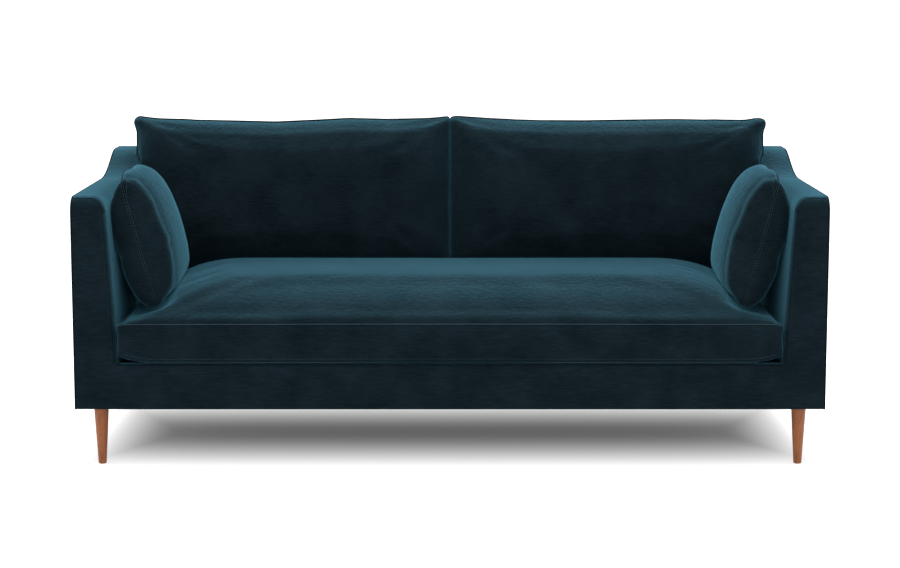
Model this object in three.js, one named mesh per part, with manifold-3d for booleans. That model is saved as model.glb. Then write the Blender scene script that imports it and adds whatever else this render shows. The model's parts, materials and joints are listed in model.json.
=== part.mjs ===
// A velvet sofa on four turned legs, in millimetres.
// +X runs to the right seen from the front, +Y to the back and +Z up. The origin is on the floor under
// the middle of the sofa. Left and right are as seen from the front.
import * as THREE from "three";
import { mergeVertices } from "three/addons/utils/BufferGeometryUtils.js";
import Module from "manifold-3d";

const wasm = await Module();
wasm.setup();

// Overall sizes
const WIDTH = 2000;
const DEPTH = 900;
const UNDERSIDE = 157;
const DECK_HEIGHT = 277;
const ARM_TOP = 725;
const BACK_TOP = 789;
const GAP = 0.3;
const OVERRUN = 5;

// Arms: their thickness, and the line of their top seen from the side
const ARM_THICK_LOW = 116;
const ARM_THICK_TOP = 88;
const ARM_FRONT_RADIUS = 45;
const ARM_INNER_ROUND = 34;
const SWEEP_FROM_REAR = 100;
const SWEEP_LENGTH = 280;
const SWEEP_FIRST_SHARE = 0.5;
const SWEEP_SECOND_SHARE = 0.714;
const REAR_TOP_RADIUS = 20;
const PAD = 10;
const WELT_RADIUS = 3;
const WELT_SIDES = 8;

// Back
const BACK_THICK_LOW = 125;
const BACK_THICK_TOP = 85;
const BACK_TOP_RADIUS = 16;

// Front rail cover, seat platform and the cloth under the frame
const RAIL_EDGE_RADIUS = 10;
const RAIL_WRAP = 22;
const DECK_PAD = 9;
const DUST_CLOTH = 1.2;

// Timber
const TIMBER = 30;
const POST_WIDTH = 45;
const POST_DEPTH = 60;
const ARM_RAIL_DEPTH = 58;
const BACK_RAIL_DEPTH = 60;
const BACK_RAIL_THICK = 32;
const LOWER_RAIL_LIFT = 60;
const STILE_WIDTH = 60;
const STILE_SPACING = 640;
const STRETCHER_THICK = 45;
const STRETCHER_DROP = 12;
const BLOCK_LEG = 110;
const BLOCK_HEIGHT = 45;

// Webbing
const WEB_THICK = 2;
const WEB_HOLD = 24;
const SEAT_WEB_WIDTH = 80;
const CROSS_WEBS = 10;
const LONG_WEBS = 3;
const BACK_WEB_WIDTH = 70;
const BACK_WEBS = 3;
const BACK_WEB_SPACING = 480;

// Legs and their hardware
const LEG_TOP_RADIUS = 20;
const LEG_FOOT_RADIUS = 10.85;
const LEG_FOOT_ROUND = 1.5;
const LEG_SHOULDER = 2;
const LEG_INSET_SIDE = 64;
const LEG_INSET_FRONT = 50;
const LEG_SIDES = 20;
const PLATE_SIZE = 56;
const PLATE_THICK = 3;
const BOLT_RADIUS = 4;
const BOLT_SIDES = 12;
const BOLT_IN_LEG = 30;
const BOLT_IN_BLOCK = 34;

// Seat cushion
const SEAT_SIDE_CLEARANCE = 5;
const SEAT_FRONT_INSET = 3;
const SEAT_BACK_CLEARANCE = 6;
const SEAT_FOOT_RISE = 23;
const SEAT_BAND = 86;
const SEAT_CROWN_RISE = 111;
const SEAT_CROWN_POWER = 3.5;
const SEAT_END_ROLL = 250;
const SEAT_END_POWER = 2.2;
const SEAT_CORNER_RADIUS = 18;
const SEAT_DRAW_IN = 5;
const SEAT_CORNER_LIFT = 20;
const SEAT_LIFT_REACH = 90;
const SEAT_FOOT_ROLL = 26;
const SEAT_FOOT_BULGE = 9;
const SEAT_FOOT_FLAT = 78;
const SEAM_PROUD = 2.5;
const SEAM_WIDTH = 5;

// Back cushions
const BACK_CUSHION_HEIGHT = 462;
const BACK_CUSHION_FRONT = 98;
const BACK_CUSHION_REAR = 62;
const BACK_CUSHION_LEAN = 8;
const BACK_CUSHION_SINK = 25;
const BACK_CUSHION_DRAW_IN = 12;
const BACK_CUSHION_EDGE = 8;
const BACK_CUSHION_SIDE_CLEARANCE = 3;
const BACK_CUSHION_FLARE = 48;
const BACK_CUSHION_END_POWER = 9;
const BACK_CUSHION_TOP_POWER = 5;

// Arm pillows
const PILLOW_LENGTH = 390;
const PILLOW_HEIGHT = 386;
const PILLOW_INNER = 100;
const PILLOW_OUTER = 60;
const PILLOW_LEAN = 13;
const PILLOW_SINK = 62;
const PILLOW_FRONT = 80;
const PILLOW_CORNER = 24;
const PILLOW_EDGE = 7;
const PILLOW_END_POWER = 8;
const PILLOW_TOP_POWER = 2.6;

// What follows from them
const HALF_WIDTH = WIDTH / 2;
const FRONT = -DEPTH / 2;
const REAR = DEPTH / 2;
const WELT_SEAT = 2 * WELT_RADIUS + (WELT_RADIUS + GAP) * Math.SQRT2;
const FRAME_SIDE = HALF_WIDTH - PAD - GAP;
const FRAME_FRONT = FRONT + PAD + GAP;
const FRAME_REAR = REAR - PAD - GAP;
const FRAME_BOTTOM = UNDERSIDE + PLATE_THICK + 2 * GAP;
const DECK_BOTTOM = DECK_HEIGHT - DECK_PAD;
const WEB_PITCH = WEB_THICK + GAP;
const FRAME_TOP = DECK_BOTTOM - 2 * WEB_PITCH - GAP;
const RAIL_INSIDE = FRAME_SIDE - TIMBER;
const WEB_LEVEL = FRAME_TOP + GAP;
const CROSS_WEB_PITCH = (2 * RAIL_INSIDE) / CROSS_WEBS;
const LEG_X = HALF_WIDTH - LEG_INSET_SIDE;
const LEG_Y = REAR - LEG_INSET_FRONT;
const SEAT_LOW_SEAM = DECK_HEIGHT + SEAT_FOOT_RISE;
const SEAT_TOP_SEAM = SEAT_LOW_SEAM + SEAT_BAND;

const velvet = { color: 0x1d3b49, roughness: 0.9, metalness: 0 };
const piping = { color: 0x1a3440, roughness: 0.9, metalness: 0 };
const decking = { color: 0x1b2d36, roughness: 0.95, metalness: 0 };
const cambric = { color: 0x202124, roughness: 0.95, metalness: 0 };
const hardwood = { color: 0xc2a27a, roughness: 0.7, metalness: 0 };
const walnut = { color: 0x8a5436, roughness: 0.45, metalness: 0 };
const webbing = { color: 0x8d8673, roughness: 0.9, metalness: 0 };
const steel = { color: 0x9a9da1, roughness: 0.4, metalness: 0.9 };

const sofa = new THREE.Group();

function add(name, geometry, look) {
  const mesh = new THREE.Mesh(geometry, new THREE.MeshStandardMaterial(look));
  mesh.name = name;
  sofa.add(mesh);
}

// Adds NAME_right at +X and its mirror image NAME_left.
function addPair(name, geometry, look) {
  add(name + "_right", geometry, look);
  add(name + "_left", flipped(geometry, -1, 1), look);
}

function geometryFrom(points, faces) {
  const geometry = new THREE.BufferGeometry();
  const places = points.flatMap((p) => [p.x, p.y, p.z]);
  geometry.setAttribute("position", new THREE.Float32BufferAttribute(places, 3));
  geometry.setIndex(faces);
  geometry.computeVertexNormals();
  return geometry;
}

// A copy turned over in X, in Y or in both, with its faces still pointing outwards.
function flipped(geometry, signX, signY) {
  const copy = geometry.index ? geometry.toNonIndexed() : geometry.clone();
  copy.scale(signX, signY, 1);
  const places = copy.attributes.position;
  const corner = new THREE.Vector3();
  const other = new THREE.Vector3();
  for (let i = 0; signX * signY < 0 && i < places.count; i += 3) {
    corner.fromBufferAttribute(places, i + 1);
    other.fromBufferAttribute(places, i + 2);
    places.setXYZ(i + 1, ...other);
    places.setXYZ(i + 2, ...corner);
  }
  copy.computeVertexNormals();
  return copy;
}

function solid(geometry) {
  const bare = geometry.clone();
  bare.deleteAttribute("normal");
  bare.deleteAttribute("uv");
  const merged = mergeVertices(bare);
  return new wasm.Manifold(
    new wasm.Mesh({
      numProp: 3,
      vertProperties: merged.attributes.position.array,
      triVerts: new Uint32Array(merged.index.array),
    }),
  );
}

function geometryOf(body) {
  const mesh = body.getMesh();
  const geometry = new THREE.BufferGeometry();
  geometry.setAttribute("position", new THREE.BufferAttribute(mesh.vertProperties, 3));
  geometry.setIndex(new THREE.BufferAttribute(mesh.triVerts, 1));
  geometry.computeVertexNormals();
  return geometry;
}

// A box from its lowest and highest corners.
function block(low, high) {
  const size = high.map((v, i) => v - low[i]);
  const middle = high.map((v, i) => (v + low[i]) / 2);
  return new THREE.BoxGeometry(...size).translate(...middle);
}

// A closed skin over rings with the same number of points, capped at both ends. The rings turn
// counter-clockwise about the way from the first ring to the last.
function skin(rings) {
  const count = rings[0].length;
  const last = (rings.length - 1) * count;
  const faces = [];
  for (let r = 0; r < last; r += count) {
    for (let i = 0; i < count; i++) {
      const a = r + i;
      const b = r + ((i + 1) % count);
      faces.push(a, b, b + count);
      faces.push(a, b + count, a + count);
    }
  }
  for (const [a, b, c] of capFaces(rings[0])) faces.push(a, c, b);
  for (const [a, b, c] of capFaces(rings.at(-1))) faces.push(last + a, last + b, last + c);
  return geometryFrom(rings.flat(), faces);
}

// Triangles over a ring, turning the way that the ring turns.
function capFaces(ring) {
  const normal = new THREE.Vector3();
  ring.forEach((p, i) => normal.add(p.clone().cross(ring[(i + 1) % ring.length])));
  normal.normalize();
  const across = ring[1].clone().sub(ring[0]).normalize();
  const up = normal.clone().cross(across);
  const flat = ring.map((p) => new THREE.Vector2(p.dot(across), p.dot(up)));
  return THREE.ShapeUtils.triangulateShape(flat, []).map(([a, b, c]) => {
    const turn = flat[b].clone().sub(flat[a]).cross(flat[c].clone().sub(flat[a]));
    return turn < 0 ? [a, c, b] : [a, b, c];
  });
}

// A profile in the (y, z) plane, carried from one x to another. Both are functions of the height.
// The profile turns clockwise seen from +X.
function carried(profile, fromX, toX) {
  const at = (x) => profile.map((p) => new THREE.Vector3(x(p.y), p.x, p.y));
  return skin([at(toX), at(fromX)]);
}

function arc(y, z, radius, from, to, steps) {
  const turn = (degrees) => THREE.MathUtils.degToRad(degrees);
  return new THREE.EllipseCurve(y, z, radius, radius, turn(from), turn(to), true).getPoints(steps);
}

// The arm's side outline in the (y, z) plane, from the foot of its front edge over its top to the foot
// of its rear edge: upright front, round corner, level top, S-shaped sweep, back top.
function armOutline() {
  const frontZ = ARM_TOP - ARM_FRONT_RADIUS;
  const end = REAR - SWEEP_FROM_REAR;
  const start = end - SWEEP_LENGTH;
  const sweep = new THREE.CubicBezierCurve(
    new THREE.Vector2(start, ARM_TOP),
    new THREE.Vector2(start + SWEEP_FIRST_SHARE * SWEEP_LENGTH, ARM_TOP),
    new THREE.Vector2(start + SWEEP_SECOND_SHARE * SWEEP_LENGTH, BACK_TOP),
    new THREE.Vector2(end, BACK_TOP),
  );
  return [
    new THREE.Vector2(FRONT, UNDERSIDE),
    ...arc(FRONT + ARM_FRONT_RADIUS, frontZ, ARM_FRONT_RADIUS, 180, 90, 6),
    ...sweep.getPoints(10),
    ...arc(REAR - REAR_TOP_RADIUS, BACK_TOP - REAR_TOP_RADIUS, REAR_TOP_RADIUS, 90, 0, 3),
    new THREE.Vector2(REAR, UNDERSIDE),
  ];
}

// Moves an open outline inwards by a distance, with mitred corners.
function inset(points, distance) {
  const last = points.length - 1;
  return points.map((p, i) => {
    const before = p.clone().sub(points[Math.max(i - 1, 0)]).normalize();
    const after = points[Math.min(i + 1, last)].clone().sub(p).normalize();
    const a = i > 0 ? before : after;
    const b = i < last ? after : before;
    const along = a.clone().add(b).normalize();
    const inwards = new THREE.Vector2(along.y, -along.x);
    return p.clone().addScaledVector(inwards, distance / along.dot(a));
  });
}

// How far the arm's inner face stands from the middle: it flares outwards going up.
function innerFace(z) {
  const flare = (ARM_THICK_LOW - ARM_THICK_TOP) / (ARM_TOP - DECK_HEIGHT);
  return HALF_WIDTH - ARM_THICK_LOW + flare * (z - DECK_HEIGHT);
}

// 0 up the front edge and 1 over the arm's top, growing through the round front corner.
function topShare(z) {
  const foot = ARM_TOP - ARM_FRONT_RADIUS;
  return THREE.MathUtils.clamp((z - foot) / ARM_FRONT_RADIUS, 0, 1);
}

// The right arm's body, shrunk by a distance, from the outer face to the inner one: a rebate of some
// width round the outer face, and a roll along the inner top edge.
function armBody(shrink, rebate, foot) {
  const outline = inset(armOutline(), shrink);
  outline[0].y = foot;
  outline.at(-1).y = foot;
  const outer = HALF_WIDTH - shrink;
  const at = (points, x) => points.map((p) => new THREE.Vector3(x(p.y), p.x, p.y));
  const rings = [at(outline, () => outer - rebate)];
  if (rebate > 0) rings.unshift(at(inset(outline, rebate), () => outer));
  const roll = ARM_INNER_ROUND - shrink;
  for (const degrees of [0, 30, 60, 90]) {
    const turn = THREE.MathUtils.degToRad(degrees);
    const sink = roll * (1 - Math.cos(turn));
    const stand = shrink + roll * (1 - Math.sin(turn));
    const sunk = outline.map((p) => new THREE.Vector2(p.x, p.y - sink * topShare(p.y)));
    rings.push(at(sunk, (z) => innerFace(z) + stand));
  }
  return skin(rings);
}

// An arm's cover: a shell that is open below, to the seat under the deck, and to the back.
function armCover() {
  const body = solid(armBody(0, WELT_SEAT, UNDERSIDE));
  const shell = body.subtract(solid(armBody(PAD, 0, UNDERSIDE - OVERRUN)));
  const inside = innerFace(UNDERSIDE) - OVERRUN;
  const outside = HALF_WIDTH - PAD;
  const toSeat = block([inside, FRONT + PAD, UNDERSIDE - OVERRUN], [outside, REAR - PAD, DECK_BOTTOM]);
  const hollow = REAR - BACK_THICK_TOP + PAD;
  const toBack = block([inside, hollow, UNDERSIDE - OVERRUN], [outside, REAR - PAD, BACK_TOP - PAD]);
  return geometryOf(shell.subtract(solid(toSeat)).subtract(solid(toBack)));
}

// The piping round an arm's outer face, up its front, along its top and down its rear.
function armWelt() {
  const course = inset(armOutline(), WELT_RADIUS);
  const last = course.length - 1;
  const rings = course.map((p, i) => {
    const along = course[Math.min(last, i + 1)].clone().sub(course[Math.max(0, i - 1)]).normalize();
    const ring = [];
    for (let side = 0; side < WELT_SIDES; side++) {
      const turn = (2 * Math.PI * side) / WELT_SIDES;
      const rise = WELT_RADIUS * Math.cos(turn);
      const x = HALF_WIDTH - WELT_RADIUS + WELT_RADIUS * Math.sin(turn);
      ring.push(new THREE.Vector3(x, p.x - along.y * rise, p.y + along.x * rise));
    }
    return ring;
  });
  return skin(rings);
}

// The inside back leans: this is the y of its face at a height.
function backFace(z) {
  const lean = (BACK_THICK_LOW - BACK_THICK_TOP) / (BACK_TOP - DECK_HEIGHT);
  return REAR - BACK_THICK_LOW + lean * (z - DECK_HEIGHT);
}

// The back's cover: inside back, top and outside back as one folded skin between the arms.
function backCover() {
  const top = BACK_TOP - BACK_TOP_RADIUS;
  const wall = BACK_TOP - PAD;
  const profile = [
    new THREE.Vector2(REAR - PAD, UNDERSIDE),
    new THREE.Vector2(REAR - PAD, wall),
    new THREE.Vector2(backFace(wall) + PAD, wall),
    new THREE.Vector2(backFace(DECK_BOTTOM) + PAD, DECK_BOTTOM),
    new THREE.Vector2(backFace(DECK_BOTTOM), DECK_BOTTOM),
    ...arc(backFace(top) + BACK_TOP_RADIUS, top, BACK_TOP_RADIUS, 180, 90, 4),
    ...arc(REAR - BACK_TOP_RADIUS, top, BACK_TOP_RADIUS, 90, 0, 4),
    new THREE.Vector2(REAR, UNDERSIDE),
  ];
  return carried(profile, (z) => GAP - innerFace(z), (z) => innerFace(z) - GAP);
}

// The front rail's cover: over the rail's top, down its face and a little way under it.
function railCover() {
  const lip = FRONT + PAD + TIMBER;
  const under = FRAME_BOTTOM - GAP;
  const profile = [
    new THREE.Vector2(FRONT, UNDERSIDE),
    ...arc(FRONT + RAIL_EDGE_RADIUS, DECK_HEIGHT - RAIL_EDGE_RADIUS, RAIL_EDGE_RADIUS, 180, 90, 4),
    new THREE.Vector2(lip, DECK_HEIGHT),
    new THREE.Vector2(lip, DECK_BOTTOM),
    new THREE.Vector2(FRONT + PAD, DECK_BOTTOM),
    new THREE.Vector2(FRONT + PAD, under),
    new THREE.Vector2(FRONT + RAIL_WRAP, under),
    new THREE.Vector2(FRONT + RAIL_WRAP, UNDERSIDE),
  ];
  return carried(profile, (z) => GAP - innerFace(z), (z) => innerFace(z) - GAP);
}

// The platform under the seat cushion, between the arms, the rail cover and the back.
function seatDeck() {
  const side = (z) => innerFace(z) - GAP;
  const front = FRONT + PAD + TIMBER + GAP;
  const rear = backFace(DECK_BOTTOM) - GAP;
  const profile = [
    new THREE.Vector2(front, DECK_BOTTOM),
    new THREE.Vector2(front, DECK_HEIGHT),
    new THREE.Vector2(rear, DECK_HEIGHT),
    new THREE.Vector2(rear, DECK_BOTTOM),
  ];
  return carried(profile, (z) => -side(z), side);
}

// The cloth stapled under the frame, cut out round the four leg plates.
function dustCover() {
  const top = FRAME_BOTTOM - GAP;
  const front = FRONT + RAIL_WRAP + GAP;
  const low = top - DUST_CLOTH;
  let cloth = solid(block([-FRAME_SIDE, front, low], [FRAME_SIDE, FRAME_REAR, top]));
  const half = PLATE_SIZE / 2 + GAP;
  for (const x of [-LEG_X, LEG_X]) {
    for (const y of [-LEG_Y, LEG_Y]) {
      const hole = block([x - half, y - half, low - OVERRUN], [x + half, y + half, top + OVERRUN]);
      cloth = cloth.subtract(solid(hole));
    }
  }
  return geometryOf(cloth);
}

// The sawn rail along an arm's top: its upper edge follows the arm, its lower edge lies below it, and its
// inner side stays clear of the roll along the arm's inner edge.
function armRail() {
  const upper = inset(armOutline(), PAD + GAP).slice(1, -1);
  const front = upper[0];
  const level = ARM_TOP - PAD - GAP - ARM_RAIL_DEPTH;
  const from = FRONT + ARM_FRONT_RADIUS + GAP;
  const to = REAR - REAR_TOP_RADIUS;
  const swept = upper.filter((p) => p.x > from && p.x < to);
  const rear = upper.at(-1);
  const profile = [
    new THREE.Vector2(front.x, level),
    ...upper,
    new THREE.Vector2(rear.x, BACK_TOP - PAD - GAP - ARM_RAIL_DEPTH),
    ...swept.reverse().map((p) => new THREE.Vector2(p.x, p.y - ARM_RAIL_DEPTH)),
  ];
  const inner = Math.max(FRAME_SIDE - POST_WIDTH, innerFace(BACK_TOP) + ARM_INNER_ROUND + GAP);
  return carried(profile, () => inner, () => FRAME_SIDE);
}

function crossWebX(i) {
  return (i + 0.5) * CROSS_WEB_PITCH - RAIL_INSIDE;
}

// Lengthwise webbing runs over one cross web and under the next. Its profile is in the (x, z) plane.
function longWeb(row, y) {
  const start = new THREE.Vector2(-RAIL_INSIDE, WEB_LEVEL);
  const line = [new THREE.Vector2(start.x - WEB_HOLD, WEB_LEVEL), start];
  for (let i = 0; i < CROSS_WEBS; i++) {
    const x = crossWebX(i);
    const z = WEB_LEVEL + (i % 2 === row % 2 ? WEB_PITCH : -WEB_PITCH);
    const reach = SEAT_WEB_WIDTH / 2 + WEB_THICK;
    line.push(new THREE.Vector2(x - reach, z), new THREE.Vector2(x + reach, z));
  }
  const end = new THREE.Vector2(RAIL_INSIDE, WEB_LEVEL);
  line.push(end, new THREE.Vector2(end.x + WEB_HOLD, WEB_LEVEL));
  const half = SEAT_WEB_WIDTH / 2;
  const top = line.map((p) => new THREE.Vector2(p.x, p.y + WEB_THICK)).reverse();
  const ring = (at) => [...line, ...top].map((p) => new THREE.Vector3(p.x, at, p.y));
  return skin([ring(y + half), ring(y - half)]);
}

// A leg, turned about its own axis, with a bore for its bolt down from the top.
function leg() {
  const bore = BOLT_RADIUS + GAP;
  const boreEnd = UNDERSIDE - BOLT_IN_LEG - GAP;
  const profile = [
    new THREE.Vector2(0, 0),
    new THREE.Vector2(LEG_FOOT_RADIUS - LEG_FOOT_ROUND, 0),
    new THREE.Vector2(LEG_FOOT_RADIUS, LEG_FOOT_ROUND),
    new THREE.Vector2(LEG_TOP_RADIUS, UNDERSIDE - LEG_SHOULDER),
    new THREE.Vector2(LEG_TOP_RADIUS - LEG_SHOULDER, UNDERSIDE),
    new THREE.Vector2(bore, UNDERSIDE),
    new THREE.Vector2(bore, boreEnd),
    new THREE.Vector2(0, boreEnd),
  ];
  return new THREE.LatheGeometry(profile, LEG_SIDES).rotateX(Math.PI / 2);
}

function rod(radius, low, high) {
  const bar = new THREE.CylinderGeometry(radius, radius, high - low, BOLT_SIDES).rotateX(Math.PI / 2);
  return bar.translate(0, 0, (low + high) / 2);
}

function bored(geometry, low, high) {
  const drill = rod(BOLT_RADIUS + GAP, low - OVERRUN, high + OVERRUN);
  return geometryOf(solid(geometry).subtract(solid(drill)));
}

function legPlate() {
  const half = PLATE_SIZE / 2;
  const low = UNDERSIDE + GAP;
  const high = low + PLATE_THICK;
  return bored(block([-half, -half, low], [half, half, high]), low, high);
}

// A three-sided block in the frame's rear right corner, in the leg's own place.
function cornerBlock() {
  const x = RAIL_INSIDE - GAP - LEG_X;
  const y = FRAME_REAR - TIMBER - GAP - LEG_Y;
  const triangle = new THREE.Shape([
    new THREE.Vector2(x, y),
    new THREE.Vector2(x - BLOCK_LEG, y),
    new THREE.Vector2(x, y - BLOCK_LEG),
  ]);
  const prism = new THREE.ExtrudeGeometry(triangle, { depth: BLOCK_HEIGHT, bevelEnabled: false });
  return bored(prism.translate(0, 0, FRAME_BOTTOM), FRAME_BOTTOM, FRAME_BOTTOM + BLOCK_HEIGHT);
}

// A rectangle's outline with round corners and sides that draw in between them.
function plan(halfX, halfY, radius, drawIn) {
  const alongX = 11;
  const alongY = 5;
  const cornerSteps = 4;
  const points = [];
  for (const [signX, signY, start] of [[1, -1, -90], [1, 1, 0], [-1, 1, 90], [-1, -1, 180]]) {
    for (let i = 0; i <= cornerSteps; i++) {
      const turn = THREE.MathUtils.degToRad(start + (90 * i) / cornerSteps);
      const x = signX * (halfX - radius) + radius * Math.cos(turn);
      const y = signY * (halfY - radius) + radius * Math.sin(turn);
      points.push(new THREE.Vector2(x, y));
    }
    const upright = start % 180 !== 0;
    const count = upright ? alongY : alongX;
    for (let i = 1; i < count; i++) {
      const share = 1 - (2 * i) / count;
      const pull = drawIn * (1 - share * share);
      const x = upright ? signX * (halfX - pull) : signX * share * (halfX - radius);
      const y = upright ? -signX * share * (halfY - radius) : signY * (halfY - pull);
      points.push(new THREE.Vector2(x, y));
    }
  }
  return points;
}

const SEAT_HALF_X = innerFace(DECK_HEIGHT) - SEAT_SIDE_CLEARANCE;
const SEAT_FRONT = FRONT + SEAT_FRONT_INSET;
const SEAT_REAR = backFace(DECK_HEIGHT) - SEAT_BACK_CLEARANCE;
const SEAT_HALF_Y = (SEAT_REAR - SEAT_FRONT) / 2;
const SEAT_MIDDLE = (SEAT_REAR + SEAT_FRONT) / 2;

// The height of the seat's crown at a point: it swells from the front and rear seams to the middle, and
// sinks in a long roll towards both ends.
function crown(x, y) {
  const fromEnd = THREE.MathUtils.clamp((SEAT_HALF_X - Math.abs(x)) / SEAT_END_ROLL, 0, 1);
  const fromSide = THREE.MathUtils.clamp((SEAT_HALF_Y - Math.abs(y - SEAT_MIDDLE)) / SEAT_HALF_Y, 0, 1);
  const endSwell = 1 - (1 - fromEnd) ** SEAT_END_POWER;
  const sideSwell = 1 - (1 - fromSide) ** SEAT_CROWN_POWER;
  return SEAT_TOP_SEAM + SEAT_CROWN_RISE * endSwell * sideSwell;
}

// The bench cushion: a soft foot, a band between two sewn seams that stand a little proud, and a crown.
function seatCushion() {
  const foot = DECK_HEIGHT + GAP;
  const band = (SEAT_LOW_SEAM + SEAT_TOP_SEAM) / 2;
  const levels = [
    [SEAT_FOOT_FLAT, foot],
    [SEAT_FOOT_ROLL, foot],
    [SEAT_FOOT_BULGE, (foot + SEAT_LOW_SEAM) / 2],
  ];
  for (const seam of [SEAT_LOW_SEAM, SEAT_TOP_SEAM]) {
    if (seam > band) levels.push([0, band]);
    levels.push([SEAM_PROUD, seam - SEAM_WIDTH], [0, seam], [SEAM_PROUD, seam + SEAM_WIDTH]);
  }
  const crownShares = [0.045, 0.09, 0.16, 0.26, 0.4, 0.58, 0.78, 0.95];
  for (const share of crownShares) levels.push([share * SEAT_HALF_Y, null]);
  const lowest = 2 * SEAM_WIDTH;
  const rings = levels.map(([inwards, z]) => {
    const radius = Math.max(SEAT_CORNER_RADIUS - inwards, SEAM_WIDTH);
    const ring = plan(SEAT_HALF_X - inwards, SEAT_HALF_Y - inwards, radius, SEAT_DRAW_IN);
    return ring.map((p) => {
      if (z === null) return new THREE.Vector3(p.x, p.y + SEAT_MIDDLE, crown(p.x, p.y + SEAT_MIDDLE));
      const reach = Math.max(0, Math.abs(p.x) - SEAT_HALF_X + SEAT_LIFT_REACH) / SEAT_LIFT_REACH;
      const soft = THREE.MathUtils.clamp((band - z) / (band - foot - lowest), 0, 1);
      return new THREE.Vector3(p.x, p.y + SEAT_MIDDLE, z + SEAT_CORNER_LIFT * soft * reach * reach);
    });
  });
  return skin(rings);
}

// A filled cushion of two sewn panels, standing upright in the (x, z) plane with its front at -Y. Its
// free edges draw in between the corners, or its corners are rounded off by some amount. Its top corner
// at +X flares out, and each panel swells by its own amount.
function panelCushion(size) {
  const { width, height, flare, front, rear, edge, drawIn, corner, endPower, topPower } = size;
  const { columns, rows } = size;
  const spread = (i, count) => Math.sin((Math.PI / 2) * ((2 * i) / count - 1));
  const swell = (u, v) => Math.sqrt((1 - Math.abs(u) ** endPower) * (1 - Math.abs(v) ** topPower));
  const points = [];
  const panel = (side, depth) => {
    const ids = [];
    for (let row = 0; row <= rows; row++) {
      for (let column = 0; column <= columns; column++) {
        const u = spread(column, columns);
        const v = spread(row, rows);
        const pull = (a, b) => corner * b ** 4 + (a > 0 ? drawIn * (1 - b * b) : 0);
        const x = u * (width / 2 - pull(u, v)) + flare * ((1 + u) / 2) * ((1 + v) / 2) ** 2;
        const z = v * (height / 2 - pull(v, u));
        const y = side * (edge / 2 + (depth - edge / 2) * Math.max(0, swell(u, v) || 0));
        ids.push(points.push(new THREE.Vector3(x, y, z)) - 1);
      }
    }
    return (column, row) => ids[row * (columns + 1) + column];
  };
  const fore = panel(-1, front);
  const aft = panel(1, rear);
  const faces = [];
  const square = (a, b, c, d) => faces.push(a, b, c, a, c, d);
  for (let row = 0; row < rows; row++) {
    for (let column = 0; column < columns; column++) {
      const right = column + 1;
      const up = row + 1;
      square(fore(column, row), fore(right, row), fore(right, up), fore(column, up));
      square(aft(column, up), aft(right, up), aft(right, row), aft(column, row));
    }
    square(fore(columns, row), aft(columns, row), aft(columns, row + 1), fore(columns, row + 1));
    square(fore(0, row + 1), aft(0, row + 1), aft(0, row), fore(0, row));
  }
  for (let column = 0; column < columns; column++) {
    square(fore(column, 0), aft(column, 0), aft(column + 1, 0), fore(column + 1, 0));
    square(fore(column + 1, rows), aft(column + 1, rows), aft(column, rows), fore(column, rows));
  }
  return geometryFrom(points, faces);
}

// The smallest distance from a geometry to something, measured by a function over its faces.
function nearest(geometry, distance) {
  const flat = geometry.index ? geometry.toNonIndexed() : geometry;
  const places = flat.attributes.position;
  const corners = [new THREE.Vector3(), new THREE.Vector3(), new THREE.Vector3()];
  const cuts = 6;
  let least = Infinity;
  for (let i = 0; i < places.count; i += 3) {
    corners.forEach((corner, k) => corner.fromBufferAttribute(places, i + k));
    for (let a = 0; a <= cuts; a++) {
      for (let b = 0; a + b <= cuts; b++) {
        const p = corners[0].clone().multiplyScalar((cuts - a - b) / cuts);
        p.addScaledVector(corners[1], a / cuts).addScaledVector(corners[2], b / cuts);
        least = Math.min(least, distance(p));
      }
    }
  }
  return least;
}

// How high a point stands over the seat cushion.
function overSeat(p) {
  const side = SEAT_HALF_X - Math.abs(p.x);
  const end = SEAT_HALF_Y - Math.abs(p.y - SEAT_MIDDLE);
  return Math.min(side, end) < 0 ? Infinity : p.z - crown(p.x, p.y);
}

// Pushes a cushion against what it leans on and lowers it on to the seat, until it rests on both.
function settle(cushion, way, toWall) {
  const rounds = 4;
  for (let i = 0; i < rounds; i++) {
    cushion.translate(...way.map((share) => share * (nearest(cushion, toWall) - GAP)));
    cushion.translate(0, 0, GAP - nearest(cushion, overSeat));
  }
  return cushion;
}

// Sinks a cushion on to the seat: whatever would pass below the crown is pressed flat along it.
function press(cushion, sink) {
  cushion.translate(0, 0, -sink);
  const places = cushion.attributes.position;
  const p = new THREE.Vector3();
  for (let i = 0; i < places.count; i++) {
    p.fromBufferAttribute(places, i);
    places.setZ(i, p.z + Math.max(0, GAP - overSeat(p)));
  }
}

// A back cushion leans on the inside back and sinks on to the seat, beside its twin.
function backCushion() {
  const inner = GAP / 2;
  const outer = innerFace(SEAT_TOP_SEAM) - BACK_CUSHION_SIDE_CLEARANCE;
  const cushion = panelCushion({
    width: outer - inner,
    height: BACK_CUSHION_HEIGHT,
    flare: BACK_CUSHION_FLARE,
    front: BACK_CUSHION_FRONT,
    rear: BACK_CUSHION_REAR,
    edge: BACK_CUSHION_EDGE,
    drawIn: BACK_CUSHION_DRAW_IN,
    corner: 0,
    endPower: BACK_CUSHION_END_POWER,
    topPower: BACK_CUSHION_TOP_POWER,
    columns: 18,
    rows: 12,
  });
  cushion.rotateX(THREE.MathUtils.degToRad(-BACK_CUSHION_LEAN));
  cushion.translate((outer + inner) / 2, 0, SEAT_TOP_SEAM + BACK_CUSHION_HEIGHT / 2);
  const toBack = (p) => backFace(p.z) - p.y;
  settle(cushion, [0, 1, 0], toBack);
  press(cushion, BACK_CUSHION_SINK);
  return settle(cushion, [0, 1, 0], toBack);
}

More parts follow.
